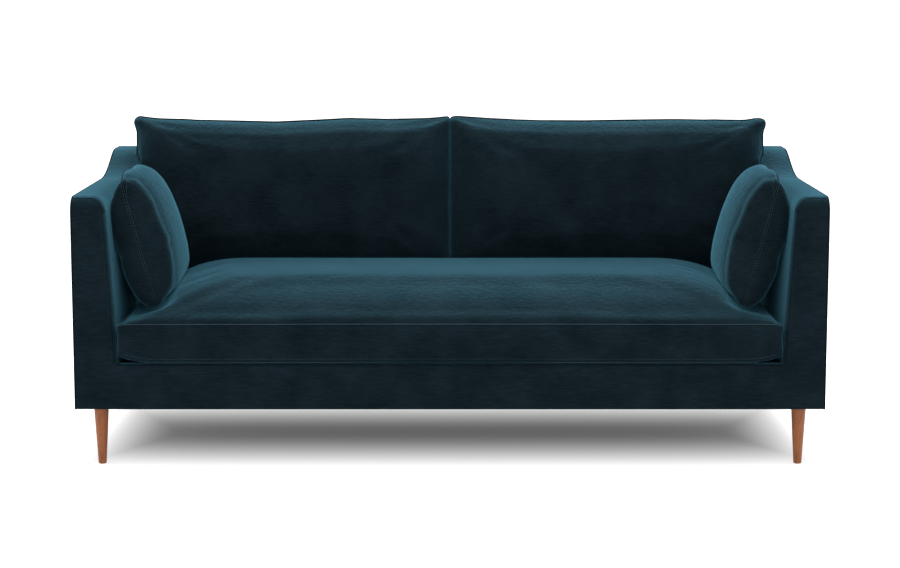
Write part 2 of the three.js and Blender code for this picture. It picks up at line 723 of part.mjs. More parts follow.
// An arm pillow stands on the seat and leans on the arm.
function armPillow() {
  const pillow = panelCushion({
    width: PILLOW_LENGTH,
    height: PILLOW_HEIGHT,
    flare: 0,
    front: PILLOW_INNER,
    rear: PILLOW_OUTER,
    edge: PILLOW_EDGE,
    drawIn: 0,
    corner: PILLOW_CORNER,
    endPower: PILLOW_END_POWER,
    topPower: PILLOW_TOP_POWER,
    columns: 14,
    rows: 12,
  });
  pillow.rotateZ(-Math.PI / 2);
  pillow.rotateY(THREE.MathUtils.degToRad(PILLOW_LEAN));
  const middle = FRONT + PILLOW_FRONT + PILLOW_LENGTH / 2;
  pillow.translate(0, middle, SEAT_TOP_SEAM + PILLOW_HEIGHT / 2);
  const toArm = (p) => innerFace(p.z) - p.x;
  settle(pillow, [1, 0, 0], toArm);
  press(pillow, PILLOW_SINK);
  return settle(pillow, [1, 0, 0], toArm);
}

addPair("arm_cover", armCover(), velvet);
addPair("arm_welt", armWelt(), piping);
add("back_cover", backCover(), velvet);
add("front_rail_cover", railCover(), velvet);
add("seat_deck", seatDeck(), decking);
add("dust_cover", dustCover(), cambric);

add("seat_cushion", seatCushion(), velvet);
addPair("back_cushion", backCushion(), velvet);
addPair("arm_pillow", armPillow(), velvet);

// Base frame: side rails run the whole depth, and the front and back rails stand between them.
const railEnd = RAIL_INSIDE - GAP;
const sideRail = block([RAIL_INSIDE, FRAME_FRONT, FRAME_BOTTOM], [FRAME_SIDE, FRAME_REAR, FRAME_TOP]);
addPair("side_rail", sideRail, hardwood);
const frontRailBack = FRAME_FRONT + TIMBER;
const backRailFront = FRAME_REAR - TIMBER;
const frontRail = block([-railEnd, FRAME_FRONT, FRAME_BOTTOM], [railEnd, frontRailBack, FRAME_TOP]);
add("front_rail", frontRail, hardwood);
const backRail = block([-railEnd, backRailFront, FRAME_BOTTOM], [railEnd, FRAME_REAR, FRAME_TOP]);
add("back_rail", backRail, hardwood);
const stretcherTop = FRAME_TOP - STRETCHER_DROP;
const stretcher = block(
  [-STRETCHER_THICK / 2, frontRailBack + GAP, FRAME_BOTTOM],
  [STRETCHER_THICK / 2, backRailFront - GAP, stretcherTop],
);
add("seat_stretcher", stretcher, hardwood);

// Arm frames: two posts on each side rail carry the sawn arm rail.
const postInside = FRAME_SIDE - POST_WIDTH;
const postFoot = FRAME_TOP + GAP;
const frontPostTop = ARM_TOP - PAD - 2 * GAP - ARM_RAIL_DEPTH;
const backPostTop = BACK_TOP - PAD - 2 * GAP - ARM_RAIL_DEPTH;
const frontPost = block(
  [postInside, FRAME_FRONT, postFoot],
  [FRAME_SIDE, FRAME_FRONT + POST_DEPTH, frontPostTop],
);
const backPost = block(
  [postInside, FRAME_REAR - POST_DEPTH, postFoot],
  [FRAME_SIDE, FRAME_REAR, backPostTop],
);
addPair("arm_post_front", frontPost, hardwood);
addPair("arm_post_back", backPost, hardwood);
addPair("arm_rail", armRail(), hardwood);

// Back frame: a top and a lower rail between the arms, with two stiles between the rails.
const backRailEnd = postInside - GAP;
const backTimber = FRAME_REAR - BACK_RAIL_THICK;
const topRailHigh = BACK_TOP - PAD - GAP;
const topRailLow = topRailHigh - BACK_RAIL_DEPTH;
const lowerRailLow = DECK_HEIGHT + LOWER_RAIL_LIFT;
const lowerRailHigh = lowerRailLow + BACK_RAIL_DEPTH;
const topRail = block([-backRailEnd, backTimber, topRailLow], [backRailEnd, FRAME_REAR, topRailHigh]);
add("back_top_rail", topRail, hardwood);
const lowerRail = block([-backRailEnd, backTimber, lowerRailLow], [backRailEnd, FRAME_REAR, lowerRailHigh]);
add("back_lower_rail", lowerRail, hardwood);
const stileX = STILE_SPACING / 2;
const stile = block(
  [stileX - STILE_WIDTH / 2, backTimber, lowerRailHigh + GAP],
  [stileX + STILE_WIDTH / 2, FRAME_REAR, topRailLow - GAP],
);
addPair("back_stile", stile, hardwood);

// Webbing: cross webs lie over the front and back rails, long webs weave through them.
for (let i = 0; i < CROSS_WEBS; i++) {
  const x = crossWebX(i);
  const low = [x - SEAT_WEB_WIDTH / 2, frontRailBack - WEB_HOLD, WEB_LEVEL];
  const high = [x + SEAT_WEB_WIDTH / 2, backRailFront + WEB_HOLD, WEB_LEVEL + WEB_THICK];
  add("seat_web_cross_" + (i + 1), block(low, high), webbing);
}
const rowPitch = (backRailFront - frontRailBack) / LONG_WEBS;
for (let i = 0; i < LONG_WEBS; i++) {
  add("seat_web_long_" + (i + 1), longWeb(i, frontRailBack + (i + 0.5) * rowPitch), webbing);
}
const webBack = backTimber - GAP;
for (let i = 0; i < BACK_WEBS; i++) {
  const x = (i - (BACK_WEBS - 1) / 2) * BACK_WEB_SPACING;
  const low = [x - BACK_WEB_WIDTH / 2, webBack - WEB_THICK, lowerRailHigh - WEB_HOLD];
  const high = [x + BACK_WEB_WIDTH / 2, webBack, topRailLow + WEB_HOLD];
  add("back_web_" + (i + 1), block(low, high), webbing);
}

// At each corner: a block in the frame, a plate under it, and a leg on a bolt through both.
const legGeometry = leg();
const plateGeometry = legPlate();
const boltGeometry = rod(BOLT_RADIUS, UNDERSIDE - BOLT_IN_LEG, FRAME_BOTTOM + BOLT_IN_BLOCK);
const blockGeometry = cornerBlock();
for (const [end, toRear] of [["front", -1], ["back", 1]]) {
  for (const [side, toRight] of [["left", -1], ["right", 1]]) {
    const name = end + "_" + side;
    const place = [toRight * LEG_X, toRear * LEG_Y, 0];
    add("leg_" + name, legGeometry.clone().translate(...place), walnut);
    add("leg_plate_" + name, plateGeometry.clone().translate(...place), steel);
    add("leg_bolt_" + name, boltGeometry.clone().translate(...place), steel);
    add("corner_block_" + name, flipped(blockGeometry, toRight, toRear).translate(...place), hardwood);
  }
}

export default sofa;
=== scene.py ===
# %% [markdown]
# # A velvet sofa, upholstered over its CAD frame
# The timber, the webbing, the legs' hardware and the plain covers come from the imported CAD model. This
# script keeps what is right about them, and makes everything that shows: the arms' tight velvet, the soft
# cushions, the seams, the piping and the turned legs. Everything is in metres, in the CAD's own frame:
# +X to the right seen from the front, +Y to the back, +Z up, with the origin on the floor.

# %% Load the frame
import json
import math
import bmesh
import bpy
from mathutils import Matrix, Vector, bvhtree, geometry, kdtree, noise


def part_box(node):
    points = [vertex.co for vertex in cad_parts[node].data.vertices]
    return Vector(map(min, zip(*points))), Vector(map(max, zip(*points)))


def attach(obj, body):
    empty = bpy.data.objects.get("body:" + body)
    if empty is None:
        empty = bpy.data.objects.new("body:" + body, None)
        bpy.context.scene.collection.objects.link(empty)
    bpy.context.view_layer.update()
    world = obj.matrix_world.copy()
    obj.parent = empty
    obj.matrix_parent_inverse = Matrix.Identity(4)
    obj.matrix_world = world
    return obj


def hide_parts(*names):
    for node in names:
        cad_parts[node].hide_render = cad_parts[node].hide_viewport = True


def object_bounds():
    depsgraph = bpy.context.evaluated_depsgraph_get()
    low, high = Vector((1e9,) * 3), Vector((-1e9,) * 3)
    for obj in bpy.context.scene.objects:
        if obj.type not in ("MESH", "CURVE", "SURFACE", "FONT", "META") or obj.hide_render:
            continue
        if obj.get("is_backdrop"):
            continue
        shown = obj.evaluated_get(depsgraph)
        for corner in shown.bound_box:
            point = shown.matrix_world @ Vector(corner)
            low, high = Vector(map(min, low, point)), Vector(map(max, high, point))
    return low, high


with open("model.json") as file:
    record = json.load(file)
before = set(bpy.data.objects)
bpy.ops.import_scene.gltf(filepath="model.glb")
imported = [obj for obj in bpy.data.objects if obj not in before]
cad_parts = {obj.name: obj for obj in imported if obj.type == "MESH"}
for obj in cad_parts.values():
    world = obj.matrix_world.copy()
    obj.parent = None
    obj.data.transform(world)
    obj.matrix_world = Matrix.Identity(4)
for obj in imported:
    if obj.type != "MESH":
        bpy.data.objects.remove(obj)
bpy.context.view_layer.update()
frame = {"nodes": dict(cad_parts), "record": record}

# %% [markdown]
# ## The sizes that the upholstery follows
# A cover is cut to the frame under it, so its sizes are read from the CAD nodes where that is possible. A
# box gives only the outermost points, so the slants of the arms and of the back are named here.

# %% Sizes of the frame, in metres
FLAT_TOP = 0.725
SWEEP_START = 0.07
SWEEP_END = 0.35
ARM_THICK_LOW = 0.116
ARM_THICK_TOP = 0.088
BACK_THICK_LOW = 0.125
BACK_THICK_TOP = 0.085
arm_low, arm_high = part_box("arm_cover_right")
deck_low, deck_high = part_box("seat_deck")
BASE = arm_low.z
CREST = arm_high.z
SIDE = arm_high.x
FRONT = arm_low.y
REAR = arm_high.y
DECK = deck_high.z
DECK_UNDER = deck_low.z
ARM_INSIDE_LOW = SIDE - ARM_THICK_LOW
ARM_INSIDE_TOP = SIDE - ARM_THICK_TOP
BACK_INSIDE_LOW = REAR - BACK_THICK_LOW
BACK_INSIDE_TOP = REAR - BACK_THICK_TOP
CLEAR = 0.0003
SAME_POINT = 1e-6


def soft_step(share):
    """0 up to 0, 1 from 1 on, and a soft step between."""
    share = min(1, max(0, share))
    return share * share * (3 - 2 * share)


def along_points(points, at):
    """Reads a value off a line through (place, value) points, in rising places."""
    for (low, a), (high, b) in zip(points, points[1:]):
        if at < high:
            return a + (b - a) * max(0, at - low) / (high - low)
    return points[-1][1]


def arm_inside(z):
    """The x of the right arm's inner face at a height: the arm gets thinner going up."""
    return ARM_INSIDE_LOW + (ARM_INSIDE_TOP - ARM_INSIDE_LOW) * (z - DECK) / (FLAT_TOP - DECK)


def back_inside(z):
    """The y of the inside back at a height: it leans."""
    return BACK_INSIDE_LOW + (BACK_INSIDE_TOP - BACK_INSIDE_LOW) * (z - DECK) / (CREST - DECK)


print("arm inner face at the deck and at its top", round(arm_inside(DECK), 4), round(arm_inside(FLAT_TOP), 4))

# %% [markdown]
# ## Materials
# A colour picked from a screen is in sRGB, while Blender's shaders add light in linear values, so one
# function turns hex into linear. Another one adds a node, sets its values and links its inputs. Every
# material below is made of these two.


# %% Colour and node helpers
def linear(code):
    parts = [int(code[i:i + 2], 16) / 255 for i in (1, 3, 5)]
    return [p / 12.92 if p <= 0.04045 else ((p + 0.055) / 1.055) ** 2.4 for p in parts] + [1.0]


def feed(made, **inputs):
    """Gives a node's inputs their values, or links sockets to them. i2 is the input with the index 2."""
    for key, value in inputs.items():
        numbered = key[0] == "i" and key[1:].isdigit()
        socket = made.inputs[int(key[1:]) if numbered else key.replace("_", " ")]
        if isinstance(value, bpy.types.NodeSocket):
            made.id_data.links.new(value, socket)
        else:
            socket.default_value = value


def node(tree, kind, settings=None, stops=(), **inputs):
    """Adds a node. settings are its own properties, and stops are a colour ramp's (position, hex) pairs."""
    made = tree.nodes.new(kind)
    for key, value in (settings or {}).items():
        setattr(made, key, value)
    for i, (position, code) in enumerate(stops):
        made.color_ramp.elements[i].position = position
        made.color_ramp.elements[i].color = linear(code)
    feed(made, **inputs)
    return made


def blank(name):
    """A new material with only a Principled shader and its output."""
    material = bpy.data.materials.new(name)
    material.use_nodes = True
    tree = material.node_tree
    tree.nodes.clear()
    shader = node(tree, "ShaderNodeBsdfPrincipled")
    node(tree, "ShaderNodeOutputMaterial", Surface=shader.outputs["BSDF"])
    return material, tree, shader


# %% [markdown]
# ### Velvet
# Cotton velvet is a woven cloth with a short cut pile. The pile stands up, so a face seen straight on
# shows its dark depths, and a face seen at a low angle shows the bright tips of the fibres. The Principled
# shader's sheen lobe does exactly that, so the base stays dark and the sheen is strong. The yarn of the
# ground cloth is uneven: its slubs run along the sofa as fine lines of some 25 by 1.5 mm. Where people sat
# or stroked it, the pile lies over in patches of some 13 mm, which a broad, soft bump shows. A tuft is
# about 0.4 mm wide. That would not show, so the tufts are drawn 1.1 mm wide.

# %% Velvet
SLUBS_PER_METRE = (40, 110, 650)
TUFTS_PER_METRE = 900.0
CRUSHED_PER_METRE = 75.0
BRUSHED_PER_METRE = 9.0


def velvet_cloth(name, dark, light, sheen, bump, tips="#5ea1b9"):
    """Velvet with the colours of its depths, from dark to light, and of its fibres' tips."""
    material, tree, shader = blank(name)
    place = node(tree, "ShaderNodeTexCoord").outputs["Object"]
    along = node(tree, "ShaderNodeMapping", Vector=place, Scale=SLUBS_PER_METRE)
    slub = node(tree, "ShaderNodeTexNoise", Vector=along.outputs["Vector"], Scale=1.0, Detail=4.0,
                Roughness=0.6)
    pile = node(tree, "ShaderNodeTexNoise", Vector=place, Scale=TUFTS_PER_METRE, Detail=2.0)
    brushed = node(tree, "ShaderNodeTexNoise", Vector=place, Scale=BRUSHED_PER_METRE, Detail=3.0,
                   Roughness=0.55)
    crushed = node(tree, "ShaderNodeTexNoise", Vector=place, Scale=CRUSHED_PER_METRE, Detail=4.0,
                   Roughness=0.65)
    both = node(tree, "ShaderNodeMix", {"data_type": "FLOAT"}, Factor=0.4,
                i2=slub.outputs["Fac"], i3=brushed.outputs["Fac"])
    colour = node(tree, "ShaderNodeValToRGB", stops=((0.36, dark), (0.64, light)), Fac=both.outputs["Result"])
    height = node(tree, "ShaderNodeMix", {"data_type": "FLOAT"}, Factor=0.45,
                  i2=slub.outputs["Fac"], i3=pile.outputs["Fac"])
    soft = node(tree, "ShaderNodeBump", Strength=bump, Distance=0.0022, Height=crushed.outputs["Fac"])
    relief = node(tree, "ShaderNodeBump", Strength=bump, Distance=0.0014, Height=height.outputs["Result"],
                  Normal=soft.outputs["Normal"])
    feed(shader, Base_Color=colour.outputs["Color"], Normal=relief.outputs["Normal"], Roughness=1.0,
         Specular_IOR_Level=0.0, Sheen_Weight=sheen, Sheen_Roughness=0.4, Sheen_Tint=linear(tips))
    return material


# The sofa's cloth: near black in the pile's depths, and a bright teal where it turns away.
velvet = velvet_cloth("cut_velvet_teal", "#0f181d", "#1f2c33", 1.0, 0.9)
# The same cloth cut on the bias round a cord: its pile lies open, so it hardly shines.
piping = velvet_cloth("bias_velvet_piping", "#0e1519", "#151e23", 0.12, 0.3)
# The seat's seam cords: the velvet made paler than the cloth. This is a painted highlight for the light that
# the seams' ridges catch, and the cord's own sheen adds to it.
seam_painted_highlight = velvet_cloth("velvet_seam_painted_highlight", "#2c3c43", "#3a4c55", 0.7, 0.3)
# Twisted thread of about the cloth's colour: smooth and pale, so its stitches show as fine light dashes.
thread = velvet_cloth("twisted_sewing_thread", "#36474e", "#445760", 0.4, 0.2, "#8fb0a8")
print("velvet, piping, seam edge and thread made")

# %% [markdown]
# ### Walnut, beech, jute, cambric, platform cloth and zinc
# The legs are turned from an orange-brown wood and oiled: the grain runs up the leg in long fine lines of
# some 2.4 mm, with a soft gloss. The hidden frame is plain sawn beech. Jute webbing shows its weave, the
# dust cloth under the frame is a thin black nonwoven, and the bolts and plates are zinc-plated steel.


# %% Woods
def wood(name, pale, dark, roughness, coat, grains_per_metre):
    material, tree, shader = blank(name)
    place = node(tree, "ShaderNodeTexCoord").outputs["Object"]
    run = node(tree, "ShaderNodeMapping", Vector=place, Scale=grains_per_metre).outputs["Vector"]
    grain = node(tree, "ShaderNodeTexNoise", Vector=run, Scale=1.0, Detail=6.0, Roughness=0.62,
                 Distortion=0.6)
    pores = node(tree, "ShaderNodeTexNoise", Vector=run, Scale=5.0, Detail=3.0)
    colour = node(tree, "ShaderNodeValToRGB", stops=((0.30, dark), (0.66, pale)), Fac=grain.outputs["Fac"])
    shade = node(tree, "ShaderNodeValToRGB", stops=((0.40, "#a08a7a"), (0.52, "#ffffff")),
                 Fac=pores.outputs["Fac"])
    deep = node(tree, "ShaderNodeMix", {"data_type": "RGBA", "blend_type": "MULTIPLY"}, Factor=0.35,
                i6=colour.outputs["Color"], i7=shade.outputs["Color"])
    relief = node(tree, "ShaderNodeBump", Strength=0.25, Distance=0.0006, Height=pores.outputs["Fac"])
    feed(shader, Base_Color=deep.outputs[2], Normal=relief.outputs["Normal"], Roughness=roughness,
         Coat_Weight=coat, Coat_Roughness=0.3)
    return material


# Turned and oiled: the grain runs upright, under a thin soft gloss.
walnut = wood("oiled_walnut", "#bb6c35", "#82441e", 0.45, 0.06, (420, 420, 22))
# Sawn and bare: pale and matt, with the grain along the sofa.
beech = wood("sawn_beech", "#cfae84", "#a98659", 0.75, 0.0, (14, 260, 260))


# %% Cloths and metal under the covers
def woven(name, pale, dark, threads_per_metre, roughness):
    material, tree, shader = blank(name)
    place = node(tree, "ShaderNodeTexCoord").outputs["Object"]
    turn = node(tree, "ShaderNodeMapping", Vector=place, Scale=(threads_per_metre, threads_per_metre, 1))
    checks = node(tree, "ShaderNodeTexChecker", Vector=turn.outputs["Vector"], Scale=1.0,
                  Color1=linear(pale), Color2=linear(dark))
    soft = node(tree, "ShaderNodeTexNoise", Vector=place, Scale=60.0, Detail=3.0)
    shade = node(tree, "ShaderNodeValToRGB", stops=((0.3, "#9a9a9a"), (0.7, "#ffffff")),
                 Fac=soft.outputs["Fac"])
    colour = node(tree, "ShaderNodeMix", {"data_type": "RGBA", "blend_type": "MULTIPLY"}, Factor=0.5,
                  i6=checks.outputs["Color"], i7=shade.outputs["Color"])
    relief = node(tree, "ShaderNodeBump", Strength=0.3, Distance=0.0004, Height=checks.outputs["Fac"])
    feed(shader, Base_Color=colour.outputs[2], Normal=relief.outputs["Normal"], Roughness=roughness)
    return material


# Webbing of jute yarn 2 mm wide: a coarse straw-coloured weave.
jute = woven("jute_webbing", "#a59b80", "#7c735c", 500, 0.95)
# Black dust cloth, with its 1.1 mm grain: flat and matt.
cambric = woven("black_dust_cloth", "#26272a", "#17181a", 900, 0.95)
# Platform cloth with 1.4 mm yarns, dyed to go with the velvet: dark, with no pile.
decking = woven("platform_cloth", "#22333c", "#18262d", 700, 0.9)

# Zinc-plated steel: a dull grey metal with a faint bloom of some 6 mm.
zinc, zinc_tree, zinc_shader = blank("zinc_plated_steel")
zinc_place = node(zinc_tree, "ShaderNodeTexCoord").outputs["Object"]
zinc_bloom = node(zinc_tree, "ShaderNodeTexNoise", Vector=zinc_place, Scale=180.0, Detail=3.0)
zinc_colour = node(zinc_tree, "ShaderNodeValToRGB", stops=((0.35, "#8f949a"), (0.65, "#b5b9bd")),
                   Fac=zinc_bloom.outputs["Fac"])
feed(zinc_shader, Base_Color=zinc_colour.outputs["Color"], Metallic=1.0, Roughness=0.42)

# %% [markdown]
# ## What stays from the CAD
# The timber, the webbing, the dust cloth, the platform and the steel are right as solids. A CAD node is
# never moved or reshaped: it only gets its finish, through its own material slots.

# %% Finish the CAD nodes
finish_of_slot = {"velvet": velvet, "piping": piping, "decking": decking, "cambric": cambric,
                  "webbing": jute, "hardwood": beech, "walnut": walnut, "steel": zinc}
for part in frame["record"]["subparts"]:
    mesh = frame["nodes"][part["node"]].data
    mesh.materials.clear()
    mesh.materials.append(finish_of_slot[part["material_slot"]])

# %% [markdown]
# ## From a bmesh to a piece
# Each piece is modelled in place, in a bmesh, and becomes an object that sits at the origin. It rides on a
# body, so that it moves with it, and it stands for the CAD nodes that it replaces.

# %% Piece helpers
COVER = 0.006


def placed(name, data):
    """A new object in the scene."""
    made = bpy.data.objects.new(name, data)
    bpy.context.scene.collection.objects.link(made)
    return made


def piece(name, bm, finish, slot_name, body, *nodes):
    """Makes an object of a bmesh. The open edges of a skin are sharp, so that its thickness shades apart."""
    bm.normal_update()
    for edge in bm.edges:
        edge.smooth = not edge.is_boundary
    mesh = bpy.data.meshes.new(name)
    bm.to_mesh(mesh)
    bm.free()
    for face in mesh.polygons:
        face.use_smooth = True
    made = placed(name, mesh)
    made.data.materials.append(finish)
    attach(made, body)
    if nodes:
        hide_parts(*nodes)
    print(name, len(mesh.polygons), "faces")
    return made


def mirrored(bm):
    """A copy for the other side of the sofa, with its faces still pointing outwards."""
    twin = bm.copy()
    bmesh.ops.scale(twin, vec=(-1, 1, 1), verts=twin.verts)
    bmesh.ops.reverse_faces(twin, faces=twin.faces)
    return twin


def pair(name, bm, finish, slot_name, *nodes):
    """A piece on the right of the frame and its mirrored twin on the left."""
    sides = {"_right": bm, "_left": mirrored(bm)}
    return [piece(name + side, half, finish, slot_name, "frame", *[part + side for part in nodes])
            for side, half in sides.items()]


def sliced(bm, centre, normal, only_cut=False):
    """Cuts a mesh with a plane, and gives the cut. With only_cut, nothing but the cut stays."""
    return bmesh.ops.bisect_plane(bm, geom=bm.verts[:] + bm.edges[:] + bm.faces[:], dist=SAME_POINT,
                                  plane_co=centre, plane_no=normal, clear_inner=only_cut,
                                  clear_outer=only_cut)["geom_cut"]


def slice_up(bm, axis, low, high, step):
    """Cuts a mesh with evenly spaced planes, so that its flat panels get vertices that can be shaped."""
    count = max(1, round((high - low) / step))
    for i in range(1, count):
        centre = Vector((0, 0, 0))
        centre[axis] = low + (high - low) * i / count
        normal = Vector((0, 0, 0))
        normal[axis] = 1
        sliced(bm, centre, normal)


def rounded(bm, geom, affect, radius, steps):
    """Rounds edges, or the corners of a face where affect is VERTICES."""
    bmesh.ops.bevel(bm, geom=geom, affect=affect, offset=radius, offset_type="OFFSET", segments=steps,
                    profile=0.5, material=-1, clamp_overlap=False)


def drop_faces(bm, unwanted):
    """Deletes the faces whose middle a test picks, with what hangs on them."""
    picked = [f for f in bm.faces if unwanted(f.calc_center_median())]
    bmesh.ops.delete(bm, geom=picked, context="FACES")


def wall(made):
    """Turns an open skin into a cover with a thickness, inwards."""
    solidify = made.modifiers.new("wall", "SOLIDIFY")
    solidify.thickness = COVER
    solidify.offset = -1


# %% [markdown]
# ## The arms
# A slim arm is a timber frame, padded and covered in tight velvet. Its side view is an upright front, a
# level top and an S-shaped sweep up to the back. One face with that outline, its corners rounded as a bevel
# of its vertices, is extruded across the arm. A last few short extrusions turn the cover over the arm's
# inner edge in a soft roll, which gets tighter towards the seat. The outer edge is bevelled, and then
# planes slice the flat panels so that they can swell over the padding. The foot is left open, and so are
# the places where the timber goes through.

# %% Arm outline
CORNER_FRONT = 0.045
CORNER_REAR = 0.020
SWEEP_LEAVES = 0.14
SWEEP_ARRIVES = 0.20
ROLL = 0.034
ROLL_FOOT = 0.010
ROLL_TAPER = 0.150
ROLL_STEPS = 8
TAPER_STEPS = 6


def arm_outline():
    """The arm's side view as one face at x = SIDE."""
    sweep = geometry.interpolate_bezier(
        Vector((SIDE, SWEEP_START, FLAT_TOP)), Vector((SIDE, SWEEP_START + SWEEP_LEAVES, FLAT_TOP)),
        Vector((SIDE, SWEEP_START + SWEEP_ARRIVES, CREST)), Vector((SIDE, SWEEP_END, CREST)), 22)
    bm = bmesh.new()
    corners = [Vector((SIDE, FRONT, BASE)), Vector((SIDE, REAR, BASE)), Vector((SIDE, REAR, CREST))]
    corners += list(reversed(sweep)) + [Vector((SIDE, FRONT, FLAT_TOP))]
    rows = [Vector((SIDE, FRONT, DECK + ROLL_TAPER * (TAPER_STEPS - i) / TAPER_STEPS))
            for i in range(TAPER_STEPS + 1)]
    ring = [bm.verts.new(p) for p in corners + rows]
    bm.faces.new(ring)
    for corner, radius, steps in ((ring[len(corners) - 1], CORNER_FRONT, 12), (ring[2], CORNER_REAR, 6)):
        rounded(bm, [corner], "VERTICES", radius * 0.95, steps)
    return bm


def rolled(p, turn):
    """Where a point of the outline goes as the cover turns through an angle on to the arm's inner side."""
    share = min(1, max(0, (p.z - FLAT_TOP + CORNER_FRONT) / CORNER_FRONT))
    radius = ROLL_FOOT + (ROLL - ROLL_FOOT) * soft_step((p.z - DECK) / ROLL_TAPER)
    sink = radius * (1 - math.cos(turn))
    z = p.z - sink * share
    y = p.y + (sink * (1 - share) if p.y < FRONT + CORNER_FRONT else 0)
    return Vector((arm_inside(z) + radius * (1 - math.sin(turn)), y, z))


# %% Arm body
ON_FACE = 0.0005
OUTER_EDGE = 0.0062
PANEL_PITCH = 0.02


def arm_body():
    """The outline carried across the arm. Each ring waits at x = -step for its turn over the inner edge."""
    bm = arm_outline()
    outside = bm.faces[:]
    cap = outside
    for step in range(ROLL_STEPS + 1):
        pushed = bmesh.ops.extrude_face_region(bm, geom=cap)["geom"]
        bmesh.ops.delete(bm, geom=[f for f in cap if f.is_valid and f not in outside], context="FACES_ONLY")
        cap = [g for g in pushed if isinstance(g, bmesh.types.BMFace)]
        for vert in [g for g in pushed if isinstance(g, bmesh.types.BMVert)]:
            vert.co.x = -step
    for vert in bm.verts:
        if vert.co.x < SIDE:
            vert.co = rolled(vert.co, math.radians(90) * -vert.co.x / ROLL_STEPS)
    bmesh.ops.recalc_face_normals(bm, faces=bm.faces)
    outer = [e for e in bm.edges if all(v.co.x > SIDE - ON_FACE for v in e.verts)
             and not all(v.co.z < BASE + ON_FACE for v in e.verts)]
    rounded(bm, outer, "EDGES", OUTER_EDGE, 2)
    return bm


arm_bm = arm_body()
print("arm body", len(arm_bm.faces), "faces")
slice_up(arm_bm, 1, FRONT, REAR, PANEL_PITCH)
slice_up(arm_bm, 2, BASE, CREST, PANEL_PITCH)

# %% [markdown]
# The front rail's cover meets each arm's front in a mitre: a slanted line from the seat's corner down to
# the arm's outer foot. A plane along it cuts the arm's cover, and what lies under it goes, as do the foot
# and the inner side where the seat's frame and the back come through.

# %% Openings of the arms
INNER_FACE = 0.004
FRONT_STRIP = 0.02
TOP_STRIP = 0.05
OUTER_STRIP = 0.008
BEHIND_BACK = 0.075
FRONT_FACE = 0.012
mitre = Vector((SIDE - ARM_INSIDE_LOW, 0, BASE - DECK))
mitre_up = Vector((-mitre.z, 0, mitre.x)).normalized()
mitre_at = Vector((ARM_INSIDE_LOW, FRONT, DECK))


def over_mitre(p):
    """How far a point lies over the mitre."""
    return (p - mitre_at).dot(mitre_up)


def inner_side(p):
    """Whether a point is on the arm's inner side."""
    return p.x < arm_inside(p.z) + INNER_FACE


sliced(arm_bm, mitre_at, mitre_up)
drop_faces(arm_bm, lambda p: p.z < BASE + ON_FACE)
drop_faces(arm_bm, lambda p: p.z < DECK_UNDER and inner_side(p) and p.y > FRONT + FRONT_STRIP)
drop_faces(arm_bm, lambda p: inner_side(p) and p.y > REAR - BEHIND_BACK and p.z < CREST - TOP_STRIP)
drop_faces(arm_bm, lambda p: p.y < FRONT + FRONT_FACE and over_mitre(p) < 0 and p.x < SIDE - OUTER_STRIP)
print("with openings", len(arm_bm.faces), "faces")

# %% [markdown]
# The padding under the panels makes them swell a little between their edges, and no upholstered panel is
# dead flat. So every vertex moves outwards along its normal by a little that grows with its distance from
# the panel's edge, plus a slow unevenness from a noise field.

# %% Padding of the arms
WAVES_PER_METRE = 7.0
ON_PANEL = 0.001
SIDE_RIM = 0.02
FRONT_RIM = 0.012


def swell(bm, amount, reach, waver, inside):
    """Moves the vertices that a function gives a distance for, outwards along their normals."""
    bm.normal_update()
    shift = {}
    for vert in bm.verts:
        distance = inside(vert.co)
        if distance > 0:
            lift = amount * (1 - math.exp(-distance / reach))
            rough = waver * noise.noise(vert.co * WAVES_PER_METRE) * min(1, distance / reach)
            shift[vert] = vert.normal * (lift + rough)
    for vert, move in shift.items():
        vert.co += move


def arm_top(y):
    """About how high the arm's top is at a y."""
    return FLAT_TOP + (CREST - FLAT_TOP) * soft_step((y - SWEEP_START) / (SWEEP_END - SWEEP_START))


def from_arm_edges(p):
    """How far a point of the arm's inner, outer or front panel lies from the panel's edges."""
    if p.x > SIDE - ON_PANEL or p.x < arm_inside(p.z) + ON_PANEL:
        return min(p.y - FRONT, REAR - p.y, arm_top(p.y) - p.z, p.z - BASE) - SIDE_RIM
    if p.y < FRONT + ON_FACE:
        return min(p.x - arm_inside(p.z), SIDE - p.x, over_mitre(p)) - FRONT_RIM
    return 0


swell(arm_bm, amount=0.0022, reach=0.05, waver=0.0012, inside=from_arm_edges)
arm_tree = bvhtree.BVHTree.FromBMesh(arm_bm)
for arm in pair("arm", arm_bm, velvet, "velvet", "arm_cover"):
    wall(arm)

# %% [markdown]
# ## Cords, piping and seams
# A welt is a cord in a folded strip of velvet, sewn into the seam between two panels. A plain seam shows
# as a fine ridge where the cloth turns in. Both are tubes along a course, and a curve with a bevel depth
# is the quickest way to a clean tube, so the course becomes a curve first and then a mesh.

# %% Tubes along a course
MANY_COURSES = 9
STITCH_SHARE = 0.66


def tube(courses, radius, closed=False):
    """Round tubes, one along each course. Where there are many, each has fewer sides."""
    curve = bpy.data.curves.new("course", "CURVE")
    curve.dimensions = "3D"
    curve.bevel_depth = radius
    curve.bevel_resolution = 3 if closed or len(courses) < MANY_COURSES else 1
    curve.use_fill_caps = not closed
    for course in courses:
        spline = curve.splines.new("POLY")
        spline.points.add(len(course) - 1)
        for point, place in zip(spline.points, course):
            point.co = (*place, 1)
        spline.use_cyclic_u = closed
    holder = bpy.data.objects.new("course", curve)
    mesh = bpy.data.meshes.new_from_object(holder)
    bm = bmesh.new()
    bm.from_mesh(mesh)
    bmesh.ops.remove_doubles(bm, verts=bm.verts, dist=SAME_POINT)
    bmesh.ops.recalc_face_normals(bm, faces=bm.faces)
    bpy.data.objects.remove(holder)
    bpy.data.curves.remove(curve)
    bpy.data.meshes.remove(mesh)
    return bm


